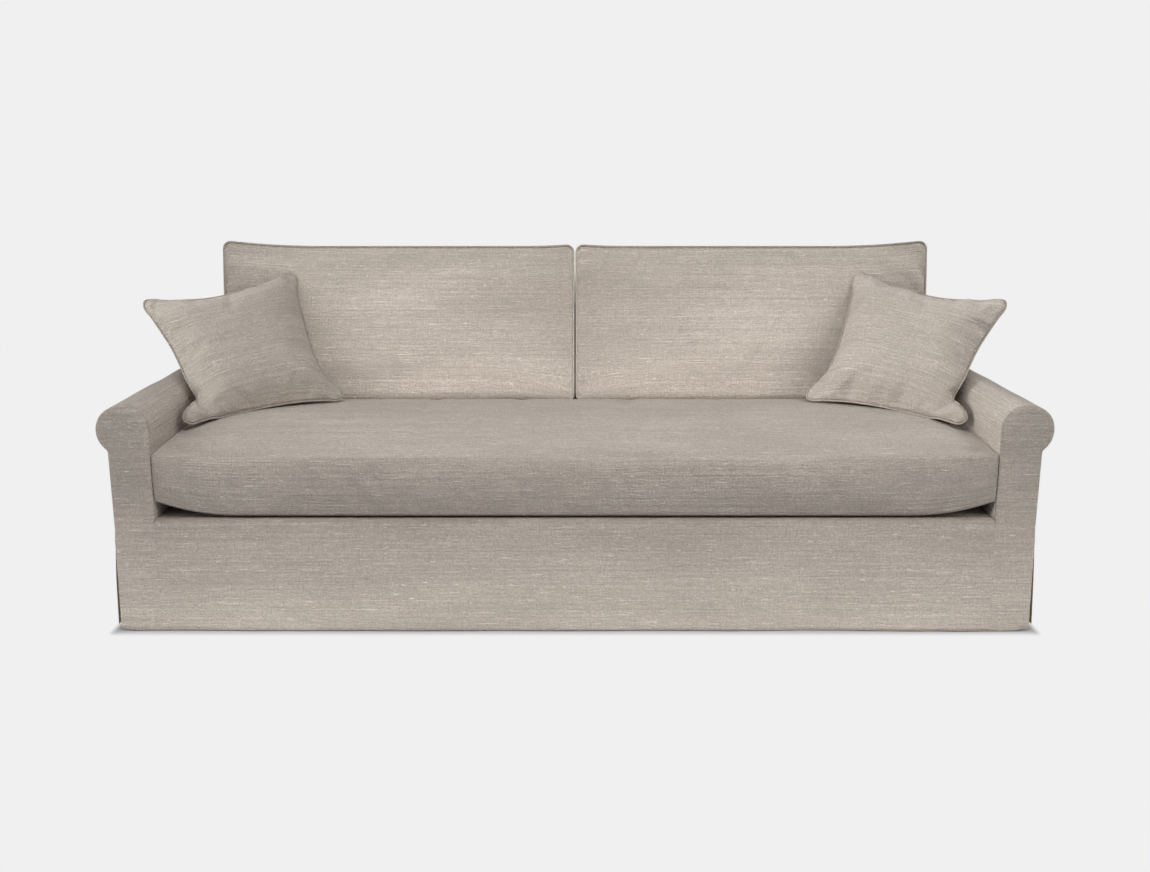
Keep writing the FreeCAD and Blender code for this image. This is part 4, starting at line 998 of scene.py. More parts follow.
def seat_sections(sizes):
    """The bench cushion's patches: top, front, bottom, rear and two ends."""
    top = SEAT_SEAM
    xs = stations(SEAT_HALF, 140, (0.0, 0.006, 0.016))
    from_end = SEAT_HALF - np.abs(xs)
    full = ease(from_end, 0.190)
    # the lower seam drops quickly from the corner and then runs out level
    low = 1 - (1 - np.clip((from_end - 0.008) / 0.215, 0, 1)) ** 2.2
    front = SEAT_FRONT - SEAT_BOW * full
    rear = np.full_like(xs, SEAT_REAR)
    # the lower seam is tucked in, so that the deck's edge shows in front of it
    front_in = front + 0.0105 * low
    front_low = 0.346 - 0.0385 * low
    rear_low = 0.348 - 0.016 * low
    flat = Body.deck + 0.0006 + 0.034 * (1 - low)
    crown = 0.012 + (sizes.seat_crown - 0.012) * full
    bulge = 0.0085 * (0.4 + 0.6 * full)

    def pair(y, z):
        return np.stack((y, np.broadcast_to(z, y.shape)), 1)

    ny, nz = 56, 11
    top_rows = bow(pair(front, top), pair(rear, top), crown, ny)
    # the back cushions press its rear flat
    pressed = smooth_step(top_rows[..., 0], 0.05, 0.22)
    top_rows[..., 1] = top + (top_rows[..., 1] - top) * (1 - pressed)
    front_rows = bow(pair(front, top), pair(front_in, front_low), -bulge, nz)
    rear_rows = bow(pair(rear, top), pair(rear, rear_low), np.zeros_like(xs), nz)

    def under(seam_y, seam_z, way):
        rise = seam_z - flat
        radius = (SEAT_UNDER**2 + rise**2) / (2 * rise)
        turn = np.arcsin(SEAT_UNDER / radius)[:, None] * np.linspace(1, 0, 9)[None, :]
        y = seam_y[:, None] + way * (SEAT_UNDER - radius[:, None] * np.sin(turn))
        return np.stack((y, flat[:, None] + radius[:, None] * (1 - np.cos(turn))), -1)

    first, last = under(front_in, front_low, 1), under(rear, rear_low, -1)[:, ::-1]
    share = np.linspace(0, 1, ny - 15)[None, 1:-1, None]
    level = first[:, -1:] * (1 - share) + last[:, :1] * share
    bottom_rows = np.concatenate((first, level, last), 1)

    def in_space(rows):
        return np.concatenate((np.broadcast_to(xs[:, None, None], rows.shape[:2] + (1,)), rows), 2)

    top_p, front_p, rear_p, bottom_p = map(in_space, (top_rows, front_rows, rear_rows, bottom_rows))
    patches = [
        patch(top_p, (0, 0, 1)), patch(front_p, (0, -1, 0), 0, (0, 0.31)), patch(bottom_p, (0, 0, -1)),
        patch(rear_p, (0, 1, 0)),
    ]
    for k, way in ((0, -1), (-1, 1)):
        end = coons(top_p[k], bottom_p[k], front_p[k], rear_p[k])
        patches.append(patch(end, (way, 0, 0)))
    return patches


def soften_front_seam(piece):
    """The filling rounds the seam between top and front, more so away from the cushion's ends."""
    found = places(piece)
    off = np.abs(found[:, 1] - (SEAT_FRONT - SEAT_BOW))
    high = np.abs(found[:, 2] - SEAT_SEAM)
    level = smoothed(piece, found, SOFT_ROUNDS, (off > SOFT_DEPTH) | (high > SOFT_HEIGHT))
    share = smooth_step(SEAT_HALF - np.abs(found[:, 0]), 0.03, 0.20)[:, None]
    move_to(piece, found + (level - found) * share)


def make_zip():
    """The zip's tape along the seat cushion's rear and the nylon coil on it."""
    low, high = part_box("seat_zipper")
    middle = (low.z + high.z) / 2
    # the tape's section from its upper edge to its lower one: how far it stands out, and its height
    section = (
        (0.0, high.z), (0.0011, high.z - 0.0004), (0.0012, middle + 0.0012), (0.0008, middle),
        (0.0012, middle - 0.0012), (0.0011, low.z + 0.0004), (0.0, low.z),
    )
    grid = np.array([[(x, low.y + out, z) for out, z in section] for x in np.linspace(low.x, high.x, 120)])
    tape = zip_tape("woven_polyester_zip_tape", linear("#9C9084"))
    strip = sew("seat_zip_tape", [patch(grid, (0, 1, 0))], tape)
    finish_piece(strip, "seat_cushion", "zip_tape", "seat_zipper")
    nylon = moulded_plastic("nylon_zip_coil", linear("#8A7E73"))
    out = low.y + 0.0018
    teeth = tree_piece(
        "seat_zip_teeth", stitch_tree(), [(x, out, middle) for x in np.linspace(low.x, high.x, 60)], False,
        Pitch=0.0019, Length=0.0013, Radius=0.0029, Seed=5, Material=nylon,
    )
    # the coil lies flat on its tape
    found = places(teeth)
    found[:, 1] = out + (found[:, 1] - out) * 0.34
    move_to(teeth, found)
    finish_piece(teeth, "seat_cushion", "zip_tape")


class SOFA_OT_seat_cushion(bpy.types.Operator):
    """Makes the bench seat cushion and the zip along its rear"""

    bl_idname = "sofa.seat_cushion"
    bl_label = "Seat cushion"

    def execute(self, context):
        sections = seat_sections(context.scene.sofa_sizes)
        piece = sew("seat_cushion_cloth", sections, context.scene["cloth"], closed=True, crease=0.95)
        # only the top and the front are loose, and the back cushions hold the top's rear
        held = seam_points(piece) | patch_points(piece, {2, 3, 4, 5})
        loose = 1 - smooth_step(places(piece)[:, 1], -0.02, 0.14)
        fill_with_air(piece, held, grow=0.025, broad=0.05, fine=0.9, cap=0.020, weight=loose)
        soften_front_seam(piece)
        subdivide(piece)
        stands_for = ("seat_cushion_cover", "seat_cushion_wrap", "seat_cushion_core")
        finish_piece(piece, "seat_cushion", "slipcover_fabric", *stands_for)
        make_zip()
        return {"FINISHED"}


# The back cushions
def ear_height(distance, reach, rise, corner):
    """Height of a cushion's upper edge over its straight middle, at a distance from its end."""
    radius = (reach**2 + rise**2) / (2 * rise)
    across = reach - corner
    drop = math.sqrt((radius + corner) ** 2 - across**2)
    meet = reach - across * radius / (radius + corner)
    curve = radius - np.sqrt(radius**2 - np.clip(reach - distance, 0, reach) ** 2)
    tip = radius - drop + np.sqrt(np.clip(corner**2 - (corner - distance) ** 2, 0, None))
    return np.where(distance >= reach, 0.0, np.where(distance >= meet, curve, tip))


CORNER_TOP, CORNER_LOW = 0.020, 0.015
CUSHION_BACK, CUSHION_FRONT = 0.0003, 0.160
CUSHION_LOW, CUSHION_TOP = 0.1765, 0.6247
# the front's lower seam lies this much lower than the rear's, pressed into the seat
CUSHION_SINK = 0.022
# the belly over the lower seam: height over it and reach in front of it, each in the cushion's middle
BELLY = (
    (0.0, 0.0), (-0.0016, 0.0035), (-0.0028, 0.0080), (-0.0030, 0.0135), (-0.0014, 0.0195), (0.0030, 0.0255),
    (0.0105, 0.0310), (0.0220, 0.0355), (0.0380, 0.0392), (0.0580, 0.0420), (0.0820, 0.0440),
)
# the front over its belly: how far it stands out at its fullest, how much less at the belly and at the upper
# seam, and how far up the fullest place is
FULLEST, LESS_LOW, LESS_HIGH, FULLEST_UP = 0.0450, 0.0010, 0.0448, 0.22
# how far the top, and the inner and the outer end, stand out
TOP_PUFF, INNER_PUFF, OUTER_PUFF = 0.005, 0.0053, 0.0045


def cushion_edges(xs, inner, outer):
    """Upper and lower edge of the right back cushion at each x, measured along the lean."""
    from_outer, from_inner = outer - xs, xs - inner
    near = np.minimum(from_outer, from_inner)
    high = CUSHION_TOP + ear_height(from_outer, 0.300, 0.018, CORNER_TOP)
    high = high + ear_height(from_inner, 0.150, 0.006, CORNER_TOP)
    corner = CORNER_LOW - np.sqrt(np.clip(CORNER_LOW**2 - (CORNER_LOW - near) ** 2, 0, None))
    return CUSHION_LOW + np.where(near < CORNER_LOW, corner, 0.0), high, near


def on_back(x, up, out, lean):
    """Points at a height along the leaning back and a distance off it."""
    y = Body.deck_back + up * math.sin(lean) - out * math.cos(lean)
    z = Body.deck + up * math.cos(lean) + out * math.sin(lean)
    return np.stack((x, y, z), -1)


def back_cushion_span():
    low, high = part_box("right_back_cushion_cover")
    return low.x, high.x


def back_cushion_patches(lean):
    """The right back cushion's patches: front, top, rear, bottom and two ends."""
    inner, outer = back_cushion_span()
    fine = (0.0, 0.0008, 0.0030, 0.0065, 0.011, 0.0165, 0.024)
    middle, half = (inner + outer) / 2, (outer - inner) / 2
    xs = middle + stations(half, 76, fine)
    low, high, near = cushion_edges(xs, inner, outer)
    full = ease(near, 0.260)
    rear, front = np.full_like(xs, CUSHION_BACK), np.full_like(xs, CUSHION_FRONT)
    front_low = low - CUSHION_SINK

    def pair(up, out):
        return np.stack((up, out), 1)

    def in_space(rows):
        x = np.broadcast_to(xs[:, None], rows.shape[:2])
        return on_back(x, rows[..., 0], rows[..., 1], lean)

    nz, nt = 34, 12
    puff = np.full_like(xs, TOP_PUFF)
    belly = np.array(BELLY)
    rise, reach = belly[:, 0], belly[:, 1]
    share = np.linspace(0, 1, nz - len(belly) + 2)[1:]
    start = front_low[:, None] + rise[None, -1:]
    rest = start + (high[:, None] - start) * share
    # from the belly to the upper seam the front is a parabola, fullest a little under its middle
    middle_up = start + (high[:, None] - start) * FULLEST_UP
    over = np.clip((rest - middle_up) / (high[:, None] - middle_up), 0, 1)
    under = np.clip((middle_up - rest) / (middle_up - start), 0, 1)
    forward = FULLEST - LESS_LOW * under**2 - LESS_HIGH * over**2.2
    up = np.concatenate((front_low[:, None] + rise * full[:, None], rest), 1)
    out = np.concatenate((np.broadcast_to(reach, (len(xs), len(reach))), forward), 1) * full[:, None]
    front_p = in_space(np.stack((up, CUSHION_FRONT + 0.0002 + out), -1))
    seams = np.stack((np.stack((front_low, high), 1), np.full((len(xs), 2), CUSHION_FRONT)), -1)
    front_p[:, (0, -1)] = in_space(seams)
    top_p = in_space(bow(pair(high, front), pair(high, rear), -puff, nt))
    rear_p = in_space(bow(pair(low, rear), pair(high, rear), 0 * puff, nz))
    low_p = in_space(bow(pair(front_low, front), pair(low, rear), 0.3 * puff, nt))
    patches = [
        patch(front_p, (0, -1, 0)), patch(top_p, (0, 0, 1)), patch(rear_p, (0, 1, 0)),
        patch(low_p, (0, 0, -1)),
    ]
    for k, way, bulge in ((0, -1, INNER_PUFF), (-1, 1, OUTER_PUFF)):
        end = coons(front_p[k], rear_p[k], low_p[k], top_p[k])
        s, t = (np.linspace(-1, 1, count) for count in end.shape[:2])
        end[..., 0] += way * bulge * ((1 - s**6)[:, None] * (1 - t**4)[None, :])
        patches.append(patch(end, (way, 0, 0), 1))
    return patches


def outset_loop(points, by):
    """A closed 2D loop moved outwards."""
    before, after = np.roll(points, 1, 0), np.roll(points, -1, 0)
    way = after - before
    way /= np.linalg.norm(way, axis=1)[:, None]
    area = (points[:, 0] * after[:, 1] - after[:, 0] * points[:, 1]).sum()
    return points + np.stack((way[:, 1], -way[:, 0]), 1) * by * (1 if area > 0 else -1)


def even_loop(points, step):
    """The same closed loop with points a step apart."""
    ring = np.concatenate((points, points[:1]))
    runs = np.concatenate(([0], np.cumsum(np.linalg.norm(np.diff(ring, axis=0), axis=1))))
    at = np.linspace(0, runs[-1], int(runs[-1] / step) + 1)[:-1]
    return np.stack([np.interp(at, runs, ring[:, k]) for k in range(ring.shape[1])], 1)


def back_welt_path(sizes):
    """The middle line of the welt round the right cushion's front."""
    inner, outer = back_cushion_span()
    turn = 0.5 - 0.5 * np.cos(np.linspace(0, math.pi, 13))
    ends = np.concatenate((CORNER_TOP * turn, np.linspace(CORNER_TOP, 0.3, 24)[1:]))
    xs = np.unique(np.concatenate((inner + ends, outer - ends, np.linspace(inner + 0.3, outer - 0.3, 30))))
    low, high, _ = cushion_edges(xs, inner, outer)
    low = low - CUSHION_SINK
    rise = np.linspace(low[-1], high[-1], 30)[1:-1]
    loop = [(x, up) for x, up in zip(xs, low)] + [(outer, up) for up in rise]
    loop += [(x, up) for x, up in zip(xs[::-1], high[::-1])]
    loop += [(inner, up) for up in np.linspace(high[0], low[0], 30)[1:-1]]
    # it stands on the seam, outwards and forwards
    aside, ahead = sizes.welt * 0.65 * 0.812, sizes.welt * 0.65 * 0.584
    loop = even_loop(outset_loop(np.array(loop), aside), 0.006)
    out = np.full(len(loop), CUSHION_FRONT + ahead)
    return on_back(loop[:, 0], loop[:, 1], out, sizes.back_lean)


class SOFA_OT_back_cushions(bpy.types.Operator):
    """Makes the two loose back cushions with the welt round their fronts"""

    bl_idname = "sofa.back_cushions"
    bl_label = "Back cushions"

    def execute(self, context):
        sizes = context.scene.sofa_sizes
        cloth = context.scene["cloth"]
        patches = back_cushion_patches(sizes.back_lean)
        path = back_welt_path(sizes)
        tree = welt_tree()
        for side, way in SIDES:
            turned = [on_side(way, one) for one in patches]
            piece = sew(side + "_back_cushion_cloth", turned, cloth, closed=True, crease=0.9)
            held = seam_points(piece) | patch_points(piece, {2, 4, 5})
            # the belly rests on the seat and keeps its shape
            loose = 0.1 + 0.9 * smooth_step(places(piece)[:, 2], 0.50, 0.64)
            grow = 0.03 + 0.004 * way
            fill_with_air(piece, held, grow, broad=0.25, fine=0.9, cap=0.022, weight=loose)
            subdivide(piece)
            body = side + "_back_cushion"
            finish_piece(piece, body, "slipcover_fabric", body + "_cover", body + "_insert")
            line = path * np.array((way, 1, 1))
            welt = tree_piece(body + "_cord", tree, line, True, Radius=sizes.welt, Sides=10, Material=cloth)
            finish_piece(welt, body, "slipcover_fabric", body + "_welt")
        return {"FINISHED"}


# The throw pillows: the left one is placed, and the right one is its mirror image
PILLOW_CENTRE = (-0.957, -0.0062, 0.6656)
PILLOW_TURN, PILLOW_TIP, PILLOW_ROLL = (math.radians(a) for a in (24.8, 45.0, 6.0))
# the left pillow's outline in its own plane, in millimetres, from one ear's tip to the next
PILLOW_OUTLINE = (
    ((-228, -216), (-215, -229), (-187, -226), (-143, -216), (-55, -204), (43, -200), (130, -205),
     (186, -214), (214, -219)),
    ((228, -210), (227, -190), (212, -160), (197, -118), (191, -60), (192, 0), (197, 62), (203, 130),
     (211, 190), (223, 228)),
    ((223, 251), (208, 262), (184, 255), (144, 240), (77, 224), (0, 209), (-60, 205), (-125, 211),
     (-176, 218), (-208, 227)),
    ((-228, 226), (-234, 208), (-222, 160), (-206, 97), (-194, 40), (-187, -20), (-183, -68), (-176, -104),
     (-169, -128), (-177, -147), (-199, -170), (-222, -193)),
)


def pillow_axes():
    """Directions along the left pillow's width, up its face and out of it."""
    lean = math.cos(PILLOW_TIP)
    out = Vector((lean * math.sin(PILLOW_TURN), -lean * math.cos(PILLOW_TURN), math.sin(PILLOW_TIP)))
    level = Vector((0, 0, 1)).cross(out).normalized()
    rise = out.cross(level)
    along = level * math.cos(PILLOW_ROLL) + rise * math.sin(PILLOW_ROLL)
    up = rise * math.cos(PILLOW_ROLL) - level * math.sin(PILLOW_ROLL)
    return np.array(along), np.array(up), np.array(out)


def pillow_space(points, n):
    """Points of the pillow's plane at a distance in front of it."""
    along, up, out = pillow_axes()
    return np.array(PILLOW_CENTRE) + points[..., :1] * along + points[..., 1:] * up + n[..., None] * out


def smooth_loop(points, steps):
    """A closed smooth line through points, with some steps between each two."""
    before, after = np.roll(points, 1, 0), np.roll(points, -1, 0)
    gap = np.linalg.norm(after - points, axis=1)[:, None]
    last = np.roll(gap, 1, 0)
    way = ((points - before) / last * gap + (after - points) / gap * last) / (gap + last)
    t = np.linspace(0, 1, steps, endpoint=False)[None, :, None]
    p, q = points[:, None], after[:, None]
    m, k = (way * gap)[:, None], (np.roll(way, -1, 0) * gap)[:, None]
    line = p * (2 * t**3 - 3 * t**2 + 1) + m * (t**3 - 2 * t**2 + t)
    line += q * (3 * t**2 - 2 * t**3) + k * (t**3 - t**2)
    return line.reshape(-1, points.shape[1])


def pillow_sides(cells):
    """The outline's four sides, each from one ear's tip to the next, closer together at the ears."""
    steps = 12
    loop = smooth_loop(np.concatenate(PILLOW_OUTLINE) / 1000, steps)
    sides, start = [], 0
    share = np.linspace(0, 1, cells + 1)
    share = share - 0.22 * np.sin(2 * math.pi * share) / (2 * math.pi)
    for side in PILLOW_OUTLINE:
        stop = start + len(side) * steps
        part = np.take(loop, range(start, stop + 1), axis=0, mode="wrap")
        runs = np.concatenate(([0], np.cumsum(np.linalg.norm(np.diff(part, axis=0), axis=1))))
        at = share * runs[-1]
        sides.append(np.stack([np.interp(at, runs, part[:, k]) for k in range(2)], 1))
        start = stop
    return sides


def pillow_patches(sizes, cells):
    """Front and back of the left pillow and the line of its seam. One lower ear bends forwards."""
    low, right, high, left = pillow_sides(cells)
    grid = coons(low, high[::-1], left[::-1], right)
    share = np.linspace(-1, 1, cells + 1)
    s, t = np.meshgrid(share, share, indexing="ij")
    # plump in the middle, with a finger's thickness left in the ears
    swell = np.clip((1 - np.abs(s) ** 2.4) * (1 - np.abs(t) ** 2.4), 0, 1) ** 0.5
    bend = 0.012 * smooth_step(-s - t, 1.0, 2.0) + 0.016 * smooth_step(-s - t, 1.44, 1.62)
    # and the filling stands out over a fold at that ear's root
    fold = 0.017 * np.exp(-(((-s - t - 1.50) / 0.10) ** 2)) * smooth_step(-s, 0.45, 0.90)
    patches = []
    for way in (1, -1):
        space = pillow_space(grid, bend - fold + way * (sizes.pillow_thickness / 2) * swell)
        points, uv, outward = patch(space, pillow_axes()[2] * way, 0, (0, 0.7 * (way > 0)))
        patches.append((points, uv, outward))
    rim = [space[:-1, 0], space[-1, :-1], space[:0:-1, -1], space[0, :0:-1]]
    return patches, np.concatenate(rim)


def nearest_points(obj, wanted):
    """Indices of the mesh's points nearest to the wanted places."""
    found = places(obj)
    return [int(np.argmin(((found - p) ** 2).sum(1))) for p in wanted]


def round_seam(line, out, by):
    """A closed line of points moved outwards in the plane that faces out."""
    way = np.roll(line, -1, 0) - np.roll(line, 1, 0)
    side = np.cross(way, out)
    side /= np.linalg.norm(side, axis=1)[:, None]
    if (side * (line - line.mean(0))).sum() < 0:
        side = -side
    return line + side * by


class SOFA_OT_pillows(bpy.types.Operator):
    """Makes the two welted throw pillows that lean in the corners"""

    bl_idname = "sofa.pillows"
    bl_label = "Throw pillows"

    def execute(self, context):
        sizes = context.scene.sofa_sizes
        cloth = context.scene["cloth"]
        patches, rim = pillow_patches(sizes, 44)
        out = pillow_axes()[2]
        tree = welt_tree()
        for side, way in SIDES:
            mirror = np.array((-way, 1, 1))
            turned = [on_side(-way, one) for one in patches]
            body = side + "_pillow"
            piece = sew(body + "_cloth", turned, cloth, closed=True, crease=1.0)
            seam = nearest_points(piece, rim * mirror)
            grow = 0.05 + 0.006 * way
            fill_with_air(piece, seam_points(piece), grow, broad=0.35, fine=1.0, cap=0.022)
            beside = ("seat_cushion_cloth", side + "_back_cushion_cloth", side + "_arm_cloth")
            keep_clear(piece, [bpy.data.objects[name] for name in beside], 0.003)
            line = round_seam(places(piece)[seam], out * mirror, sizes.pillow_welt * 0.6)
            subdivide(piece)
            finish_piece(piece, body, "slipcover_fabric", body + "_cover", body + "_insert")
            line, radius = even_loop(line, 0.004), sizes.pillow_welt
            welt = tree_piece(body + "_cord", tree, line, True, Radius=radius, Sides=10, Material=cloth)
            finish_piece(welt, body, "slipcover_fabric", body + "_welt")
        return {"FINISHED"}


class SOFA_OT_frame_finish(bpy.types.Operator):
    """Gives the frame, springs, webbing, lining and fasteners their materials"""

    bl_idname = "sofa.frame_finish"
    bl_label = "Frame and springs"

    def execute(self, context):
        colours = context.scene.sofa_colours
        wood_x = sawn_wood("sawn_poplar_along_x", colours.wood, 0)
        wood_y = sawn_wood("sawn_poplar_along_y", colours.wood, 1)
        wood_z = sawn_wood("sawn_poplar_along_z", colours.wood, 2)
        lining = lining_cloth("spun_bonded_lining", colours.lining)
        steel = drawn_steel("drawn_spring_steel", linear("#8F9296"), 0.38, 0)
        zinc = drawn_steel("zinc_plated_steel", linear("#B9BCC0"), 0.32, 2)
        canvas = canvas_cloth("unbleached_cotton_duck", linear("#B7AB93"), linear("#DDD3BD"))
        jute = jute_webbing("jute_webbing", colours.webbing)
        glides = moulded_plastic("moulded_polyethylene", linear("#2B2B2D"))
        nickel = drawn_steel("nickel_plated_zinc_alloy", linear("#C9C5BC"), 0.25, 0)
        finishes = {
            wood_x: ("front_rail", "back_rail", "corner_blocks", "back_top_rail", "back_low_rails"),
            wood_y: (
                "right_side_rail", "left_side_rail", "deck_stretchers", "right_arm_top_rail",
                "left_arm_top_rail",
            ),
            wood_z: ("feet", "right_arm_boards", "left_arm_boards", "back_posts"),
            lining: ("dust_cover", "back_liner"),
            steel: ("seat_springs",),
            zinc: ("spring_clips", "foot_bolts", "frame_screws"),
            canvas: ("deck_canvas",),
            jute: ("back_webbing",),
            glides: ("foot_glides",),
            nickel: ("seat_zipper_slider",),
        }
        for finish, names in finishes.items():
            for name in names:
                slots = NODES[name].material_slots
                if not slots:
                    NODES[name].data.materials.append(finish)
                for one in slots:
                    one.link = "OBJECT"
                    one.material = finish
        return {"FINISHED"}


BACKS = tuple(side + "_back_cushion_" + kind for side in ("left", "right") for kind in ("cloth", "cord"))
FRONTS = ("front_panel_cloth", "left_arm_front_cloth", "right_arm_front_cloth")
# The studio's lamps: name, place, target, width and height (a disk has one size), watts and what they light
# (everything, unless pieces are named). Those from back_fill on stand for the light that a white studio
# throws back.
LAMPS = (
    ("over_front", (0, -2.2, 3.4), (0, 0, 0.4), (2.4,), 45.5, ()),
    ("over_left", (-2.6, -0.6, 3.0), (0, 0, 0.4), (2.0,), 9.3, ()),
    ("over_right", (2.6, -0.6, 3.0), (0, 0, 0.4), (2.0,), 23.8, ()),
    ("left", (-3.8, -0.8, 1.8), (0, 0, 0.4), (1.6,), 25.8, ()),
    ("left_front", (-3.2, -3.0, 2.6), (0, 0, 0.4), (1.8,), 5.5, ()),
    ("right_front", (3.2, -3.0, 2.6), (0, 0, 0.4), (1.8,), 20.3, ()),
    ("rear", (0, 3.4, 3.2), (0, 0, 0.4), (2.6,), 50, ()),
    ("back_fill", (0, -3.2, 0.9), (0, 0.3, 0.5), (1.8,), 2.6, BACKS),
    ("left_back_fill", (-0.62, -0.28, 0.93), (-0.78, 0.25, 0.82), (0.3,), 0.62, BACKS[:1]),
    ("right_back_fill", (0.66, -0.30, 0.85), (0.76, 0.25, 0.78), (0.3,), 0.38, BACKS[2:3]),
    ("seat_bounce", (0, -0.55, 0.58), (0, 0.3, 0.55), (2.0, 0.12), 2.5, BACKS),
    ("crease_fill", (0, -0.02, 0.535), (0, 0.3, 0.50), (1.5, 0.05), 0.65, BACKS),
    ("floor_bounce", (0, -0.83, 0.02), (0, -0.48, 0.02), (3.2, 0.06), 3.6, FRONTS),
    ("seat_fill", (0, -2.4, 2.2), (0, -0.2, 0.45), (1.5,), 14, ("seat_cushion_cloth",)),
    ("right_arm_fill", (-2.6, -1.4, 1.0), (1.1, -0.2, 0.5), (1.2,), 50,
     ("right_arm_cloth", "right_pillow_cloth", "right_pillow_cord")),
    ("left_pillow_fill", (-2.0, -1.0, 1.3), (-0.95, 0.0, 0.66), (0.8,), 4.5,
     ("left_pillow_cloth", "left_pillow_cord")),
    ("left_pillow_bounce", (-0.76, -0.42, 0.54), (-0.93, -0.06, 0.58), (0.4, 0.05), 0.07,
     ("left_pillow_cloth", "left_pillow_cord")),
    ("right_pillow_bounce", (0.76, -0.42, 0.54), (0.93, -0.06, 0.58), (0.4, 0.05), 0.05,
     ("right_pillow_cloth", "right_pillow_cord")),
    ("rear_fill", (0, 3.8, 1.0), (0, 0.48, 0.45), (2.4,), 26, ("outside_back_cloth",)),
    ("right_side_fill", (3.9, 0.2, 1.0), (1.2, 0, 0.3), (1.8,), 14, ("right_side_cloth",)),
    ("left_side_fill", (-3.9, 0.2, 1.0), (-1.2, 0, 0.3), (1.8,), 6, ("left_side_cloth",)),
)
# strength of the even light all round
WORLD_LIGHT = 0.12


# The floor shows its own tone within this half width and half depth, where the sofa's contact shadow lies,
# and runs into the backdrop's tone over this distance, quicker beside the sofa than in front of it
SHADOW_EDGE, SHADOW_FADE, FADE_BESIDE = (1.205, 0.495, 0.0), 0.038, 1.8


def floor_paper(colours):
    """Swept white paper: matt and even, so that the sofa seems to stand on nothing but its contact shadow."""
    made, tree, surface = material("matt_studio_floor", 0.9, {"Specular IOR Level": 0.1})
    at = add(tree, "ShaderNodeTexCoord").outputs["Object"]
    pale = tuple(colours.floor)
    uneven = add(
        tree, "ShaderNodeMix", {0: grain(tree, at, (0.5,) * 3, 2.0, 0.5), 6: pale, 7: tinted(pale, 0.985)},
        data_type="RGBA",
    ).outputs[2]
    tree.links.new(uneven, surface.inputs["Base Color"])
    away, none, beside = at, (0, 0, 0), (FADE_BESIDE, 1, 0)
    for step, by in (("ABSOLUTE", none), ("SUBTRACT", SHADOW_EDGE), ("MAXIMUM", none), ("MULTIPLY", beside)):
        away = add(tree, "ShaderNodeVectorMath", {0: away, 1: by}, operation=step)
    away = add(tree, "ShaderNodeVectorMath", {0: away}, operation="LENGTH").outputs["Value"]
    fade = {"Value": away, "From Max": SHADOW_FADE}
    far = add(tree, "ShaderNodeMapRange", fade, interpolation_type="SMOOTHSTEP")
    seen = add(tree, "ShaderNodeLightPath").outputs["Is Camera Ray"]
    share = add(tree, "ShaderNodeMath", {0: far, 1: seen}, operation="MULTIPLY")
    glow = add(tree, "ShaderNodeEmission", {"Color": tuple(colours.backdrop)})
    both = add(tree, "ShaderNodeMixShader", {0: share, 1: surface, 2: glow}).outputs[0]
    tree.links.new(both, tree.nodes["Material Output"].inputs["Surface"])
    return made


def make_floor(colours):
    disc = bmesh.new()
    bmesh.ops.create_circle(disc, cap_ends=True, radius=60.0, segments=96)
    data = bpy.data.meshes.new("studio_floor")
    disc.to_mesh(data)
    disc.free()
    data.materials.append(floor_paper(colours))
    floor = bpy.data.objects.new("studio_floor", data)
    bpy.context.scene.collection.objects.link(floor)


def make_world(colours):
    """An even white light all round, and the backdrop's tone behind the sofa."""
    world = bpy.data.worlds.new("studio")
    world.use_nodes = True
    tree = world.node_tree
    light = tree.nodes["Background"]
    light.inputs["Color"].default_value = (1, 1, 1, 1)
    light.inputs["Strength"].default_value = WORLD_LIGHT
    paper = add(tree, "ShaderNodeBackground", {"Color": tuple(colours.backdrop)})
    seen = add(tree, "ShaderNodeLightPath").outputs["Is Camera Ray"]
    both = add(tree, "ShaderNodeMixShader", {0: seen, 1: light, 2: paper}).outputs[0]
    tree.links.new(both, tree.nodes["World Output"].inputs["Surface"])
    bpy.context.scene.world = world


def make_lamp(name, place, target, size, power, lit):
    light = bpy.data.lights.new(name, "AREA")
    light.shape = "RECTANGLE" if len(size) > 1 else "DISK"
    light.size, light.size_y = size[0], size[-1]
    light.energy = power
    lamp = bpy.data.objects.new(name, light)
    lamp.location = place
    lamp.rotation_euler = (Vector(target) - Vector(place)).to_track_quat("-Z", "Y").to_euler()
    lamp.visible_camera = False
    if lit:
        group = bpy.data.collections.new(name)
        for piece in lit:
            group.objects.link(bpy.data.objects[piece])
        lamp.light_linking.receiver_collection = group
    bpy.context.scene.collection.objects.link(lamp)


# The photo's camera, worked out from its vanishing points: place, tilt under the level, focal length and
# picture width in pixels
CAMERA_PLACE, CAMERA_TILT = (0.0, -3.4485, 1.225), math.radians(13.28)
FOCAL_PIXELS, PICTURE_PIXELS = 1199, 1150


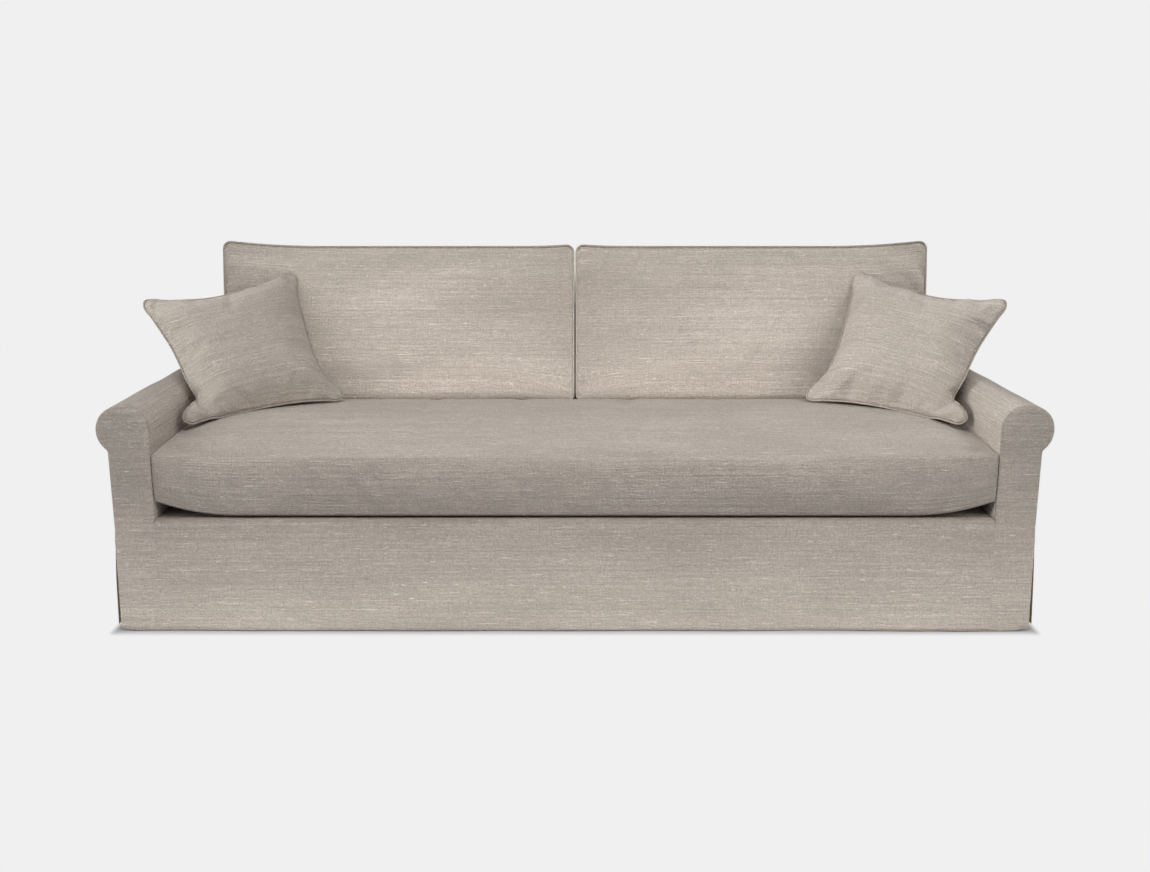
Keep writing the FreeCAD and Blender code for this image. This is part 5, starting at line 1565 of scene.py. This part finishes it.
def make_camera():
    lens = bpy.data.cameras.new("camera")
    lens.sensor_fit = "HORIZONTAL"
    lens.sensor_width = 36.0
    lens.lens = lens.sensor_width * FOCAL_PIXELS / PICTURE_PIXELS
    camera = bpy.data.objects.new("camera", lens)
    camera.location = CAMERA_PLACE
    camera.rotation_euler = (math.pi / 2 - CAMERA_TILT, 0, 0)
    bpy.context.scene.collection.objects.link(camera)
    bpy.context.scene.camera = camera


class SOFA_OT_stage(bpy.types.Operator):
    """Makes the pale floor, the soft studio light and the camera"""

    bl_idname = "sofa.stage"
    bl_label = "Stage"

    def execute(self, context):
        colours = context.scene.sofa_colours
        make_floor(colours)
        make_world(colours)
        for lamp in LAMPS:
            make_lamp(*lamp)
        make_camera()
        context.scene.view_settings.view_transform = "Standard"
        return {"FINISHED"}


OPERATORS = (
    SOFA_OT_slipcover, SOFA_OT_seat_cushion, SOFA_OT_back_cushions, SOFA_OT_pillows, SOFA_OT_frame_finish,
    SOFA_OT_stage,
)


class SOFA_PT_panel(bpy.types.Panel):
    """Lists the sofa's steps, sizes and colours in the sidebar"""

    bl_label = "Sofa"
    bl_idname = "SOFA_PT_panel"
    bl_space_type = "VIEW_3D"
    bl_region_type = "UI"
    bl_category = "Sofa"

    def draw(self, context):
        for operator in OPERATORS:
            self.layout.operator(operator.bl_idname)
        for group in (context.scene.sofa_sizes, context.scene.sofa_colours):
            for name in group.__annotations__:
                self.layout.prop(group, name)


CLASSES = (SofaSizes, SofaColours) + OPERATORS + (SOFA_PT_panel,)


def register():
    for one in CLASSES:
        bpy.utils.register_class(one)
    bpy.types.Scene.sofa_sizes = bpy.props.PointerProperty(type=SofaSizes)
    bpy.types.Scene.sofa_colours = bpy.props.PointerProperty(type=SofaColours)


def unregister():
    del bpy.types.Scene.sofa_colours
    del bpy.types.Scene.sofa_sizes
    for one in reversed(CLASSES):
        bpy.utils.unregister_class(one)


def main():
    register()
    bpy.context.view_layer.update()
    for operator in OPERATORS:
        group, name = operator.bl_idname.split(".")
        getattr(getattr(bpy.ops, group), name)()


if __name__ == "__main__":
    main()
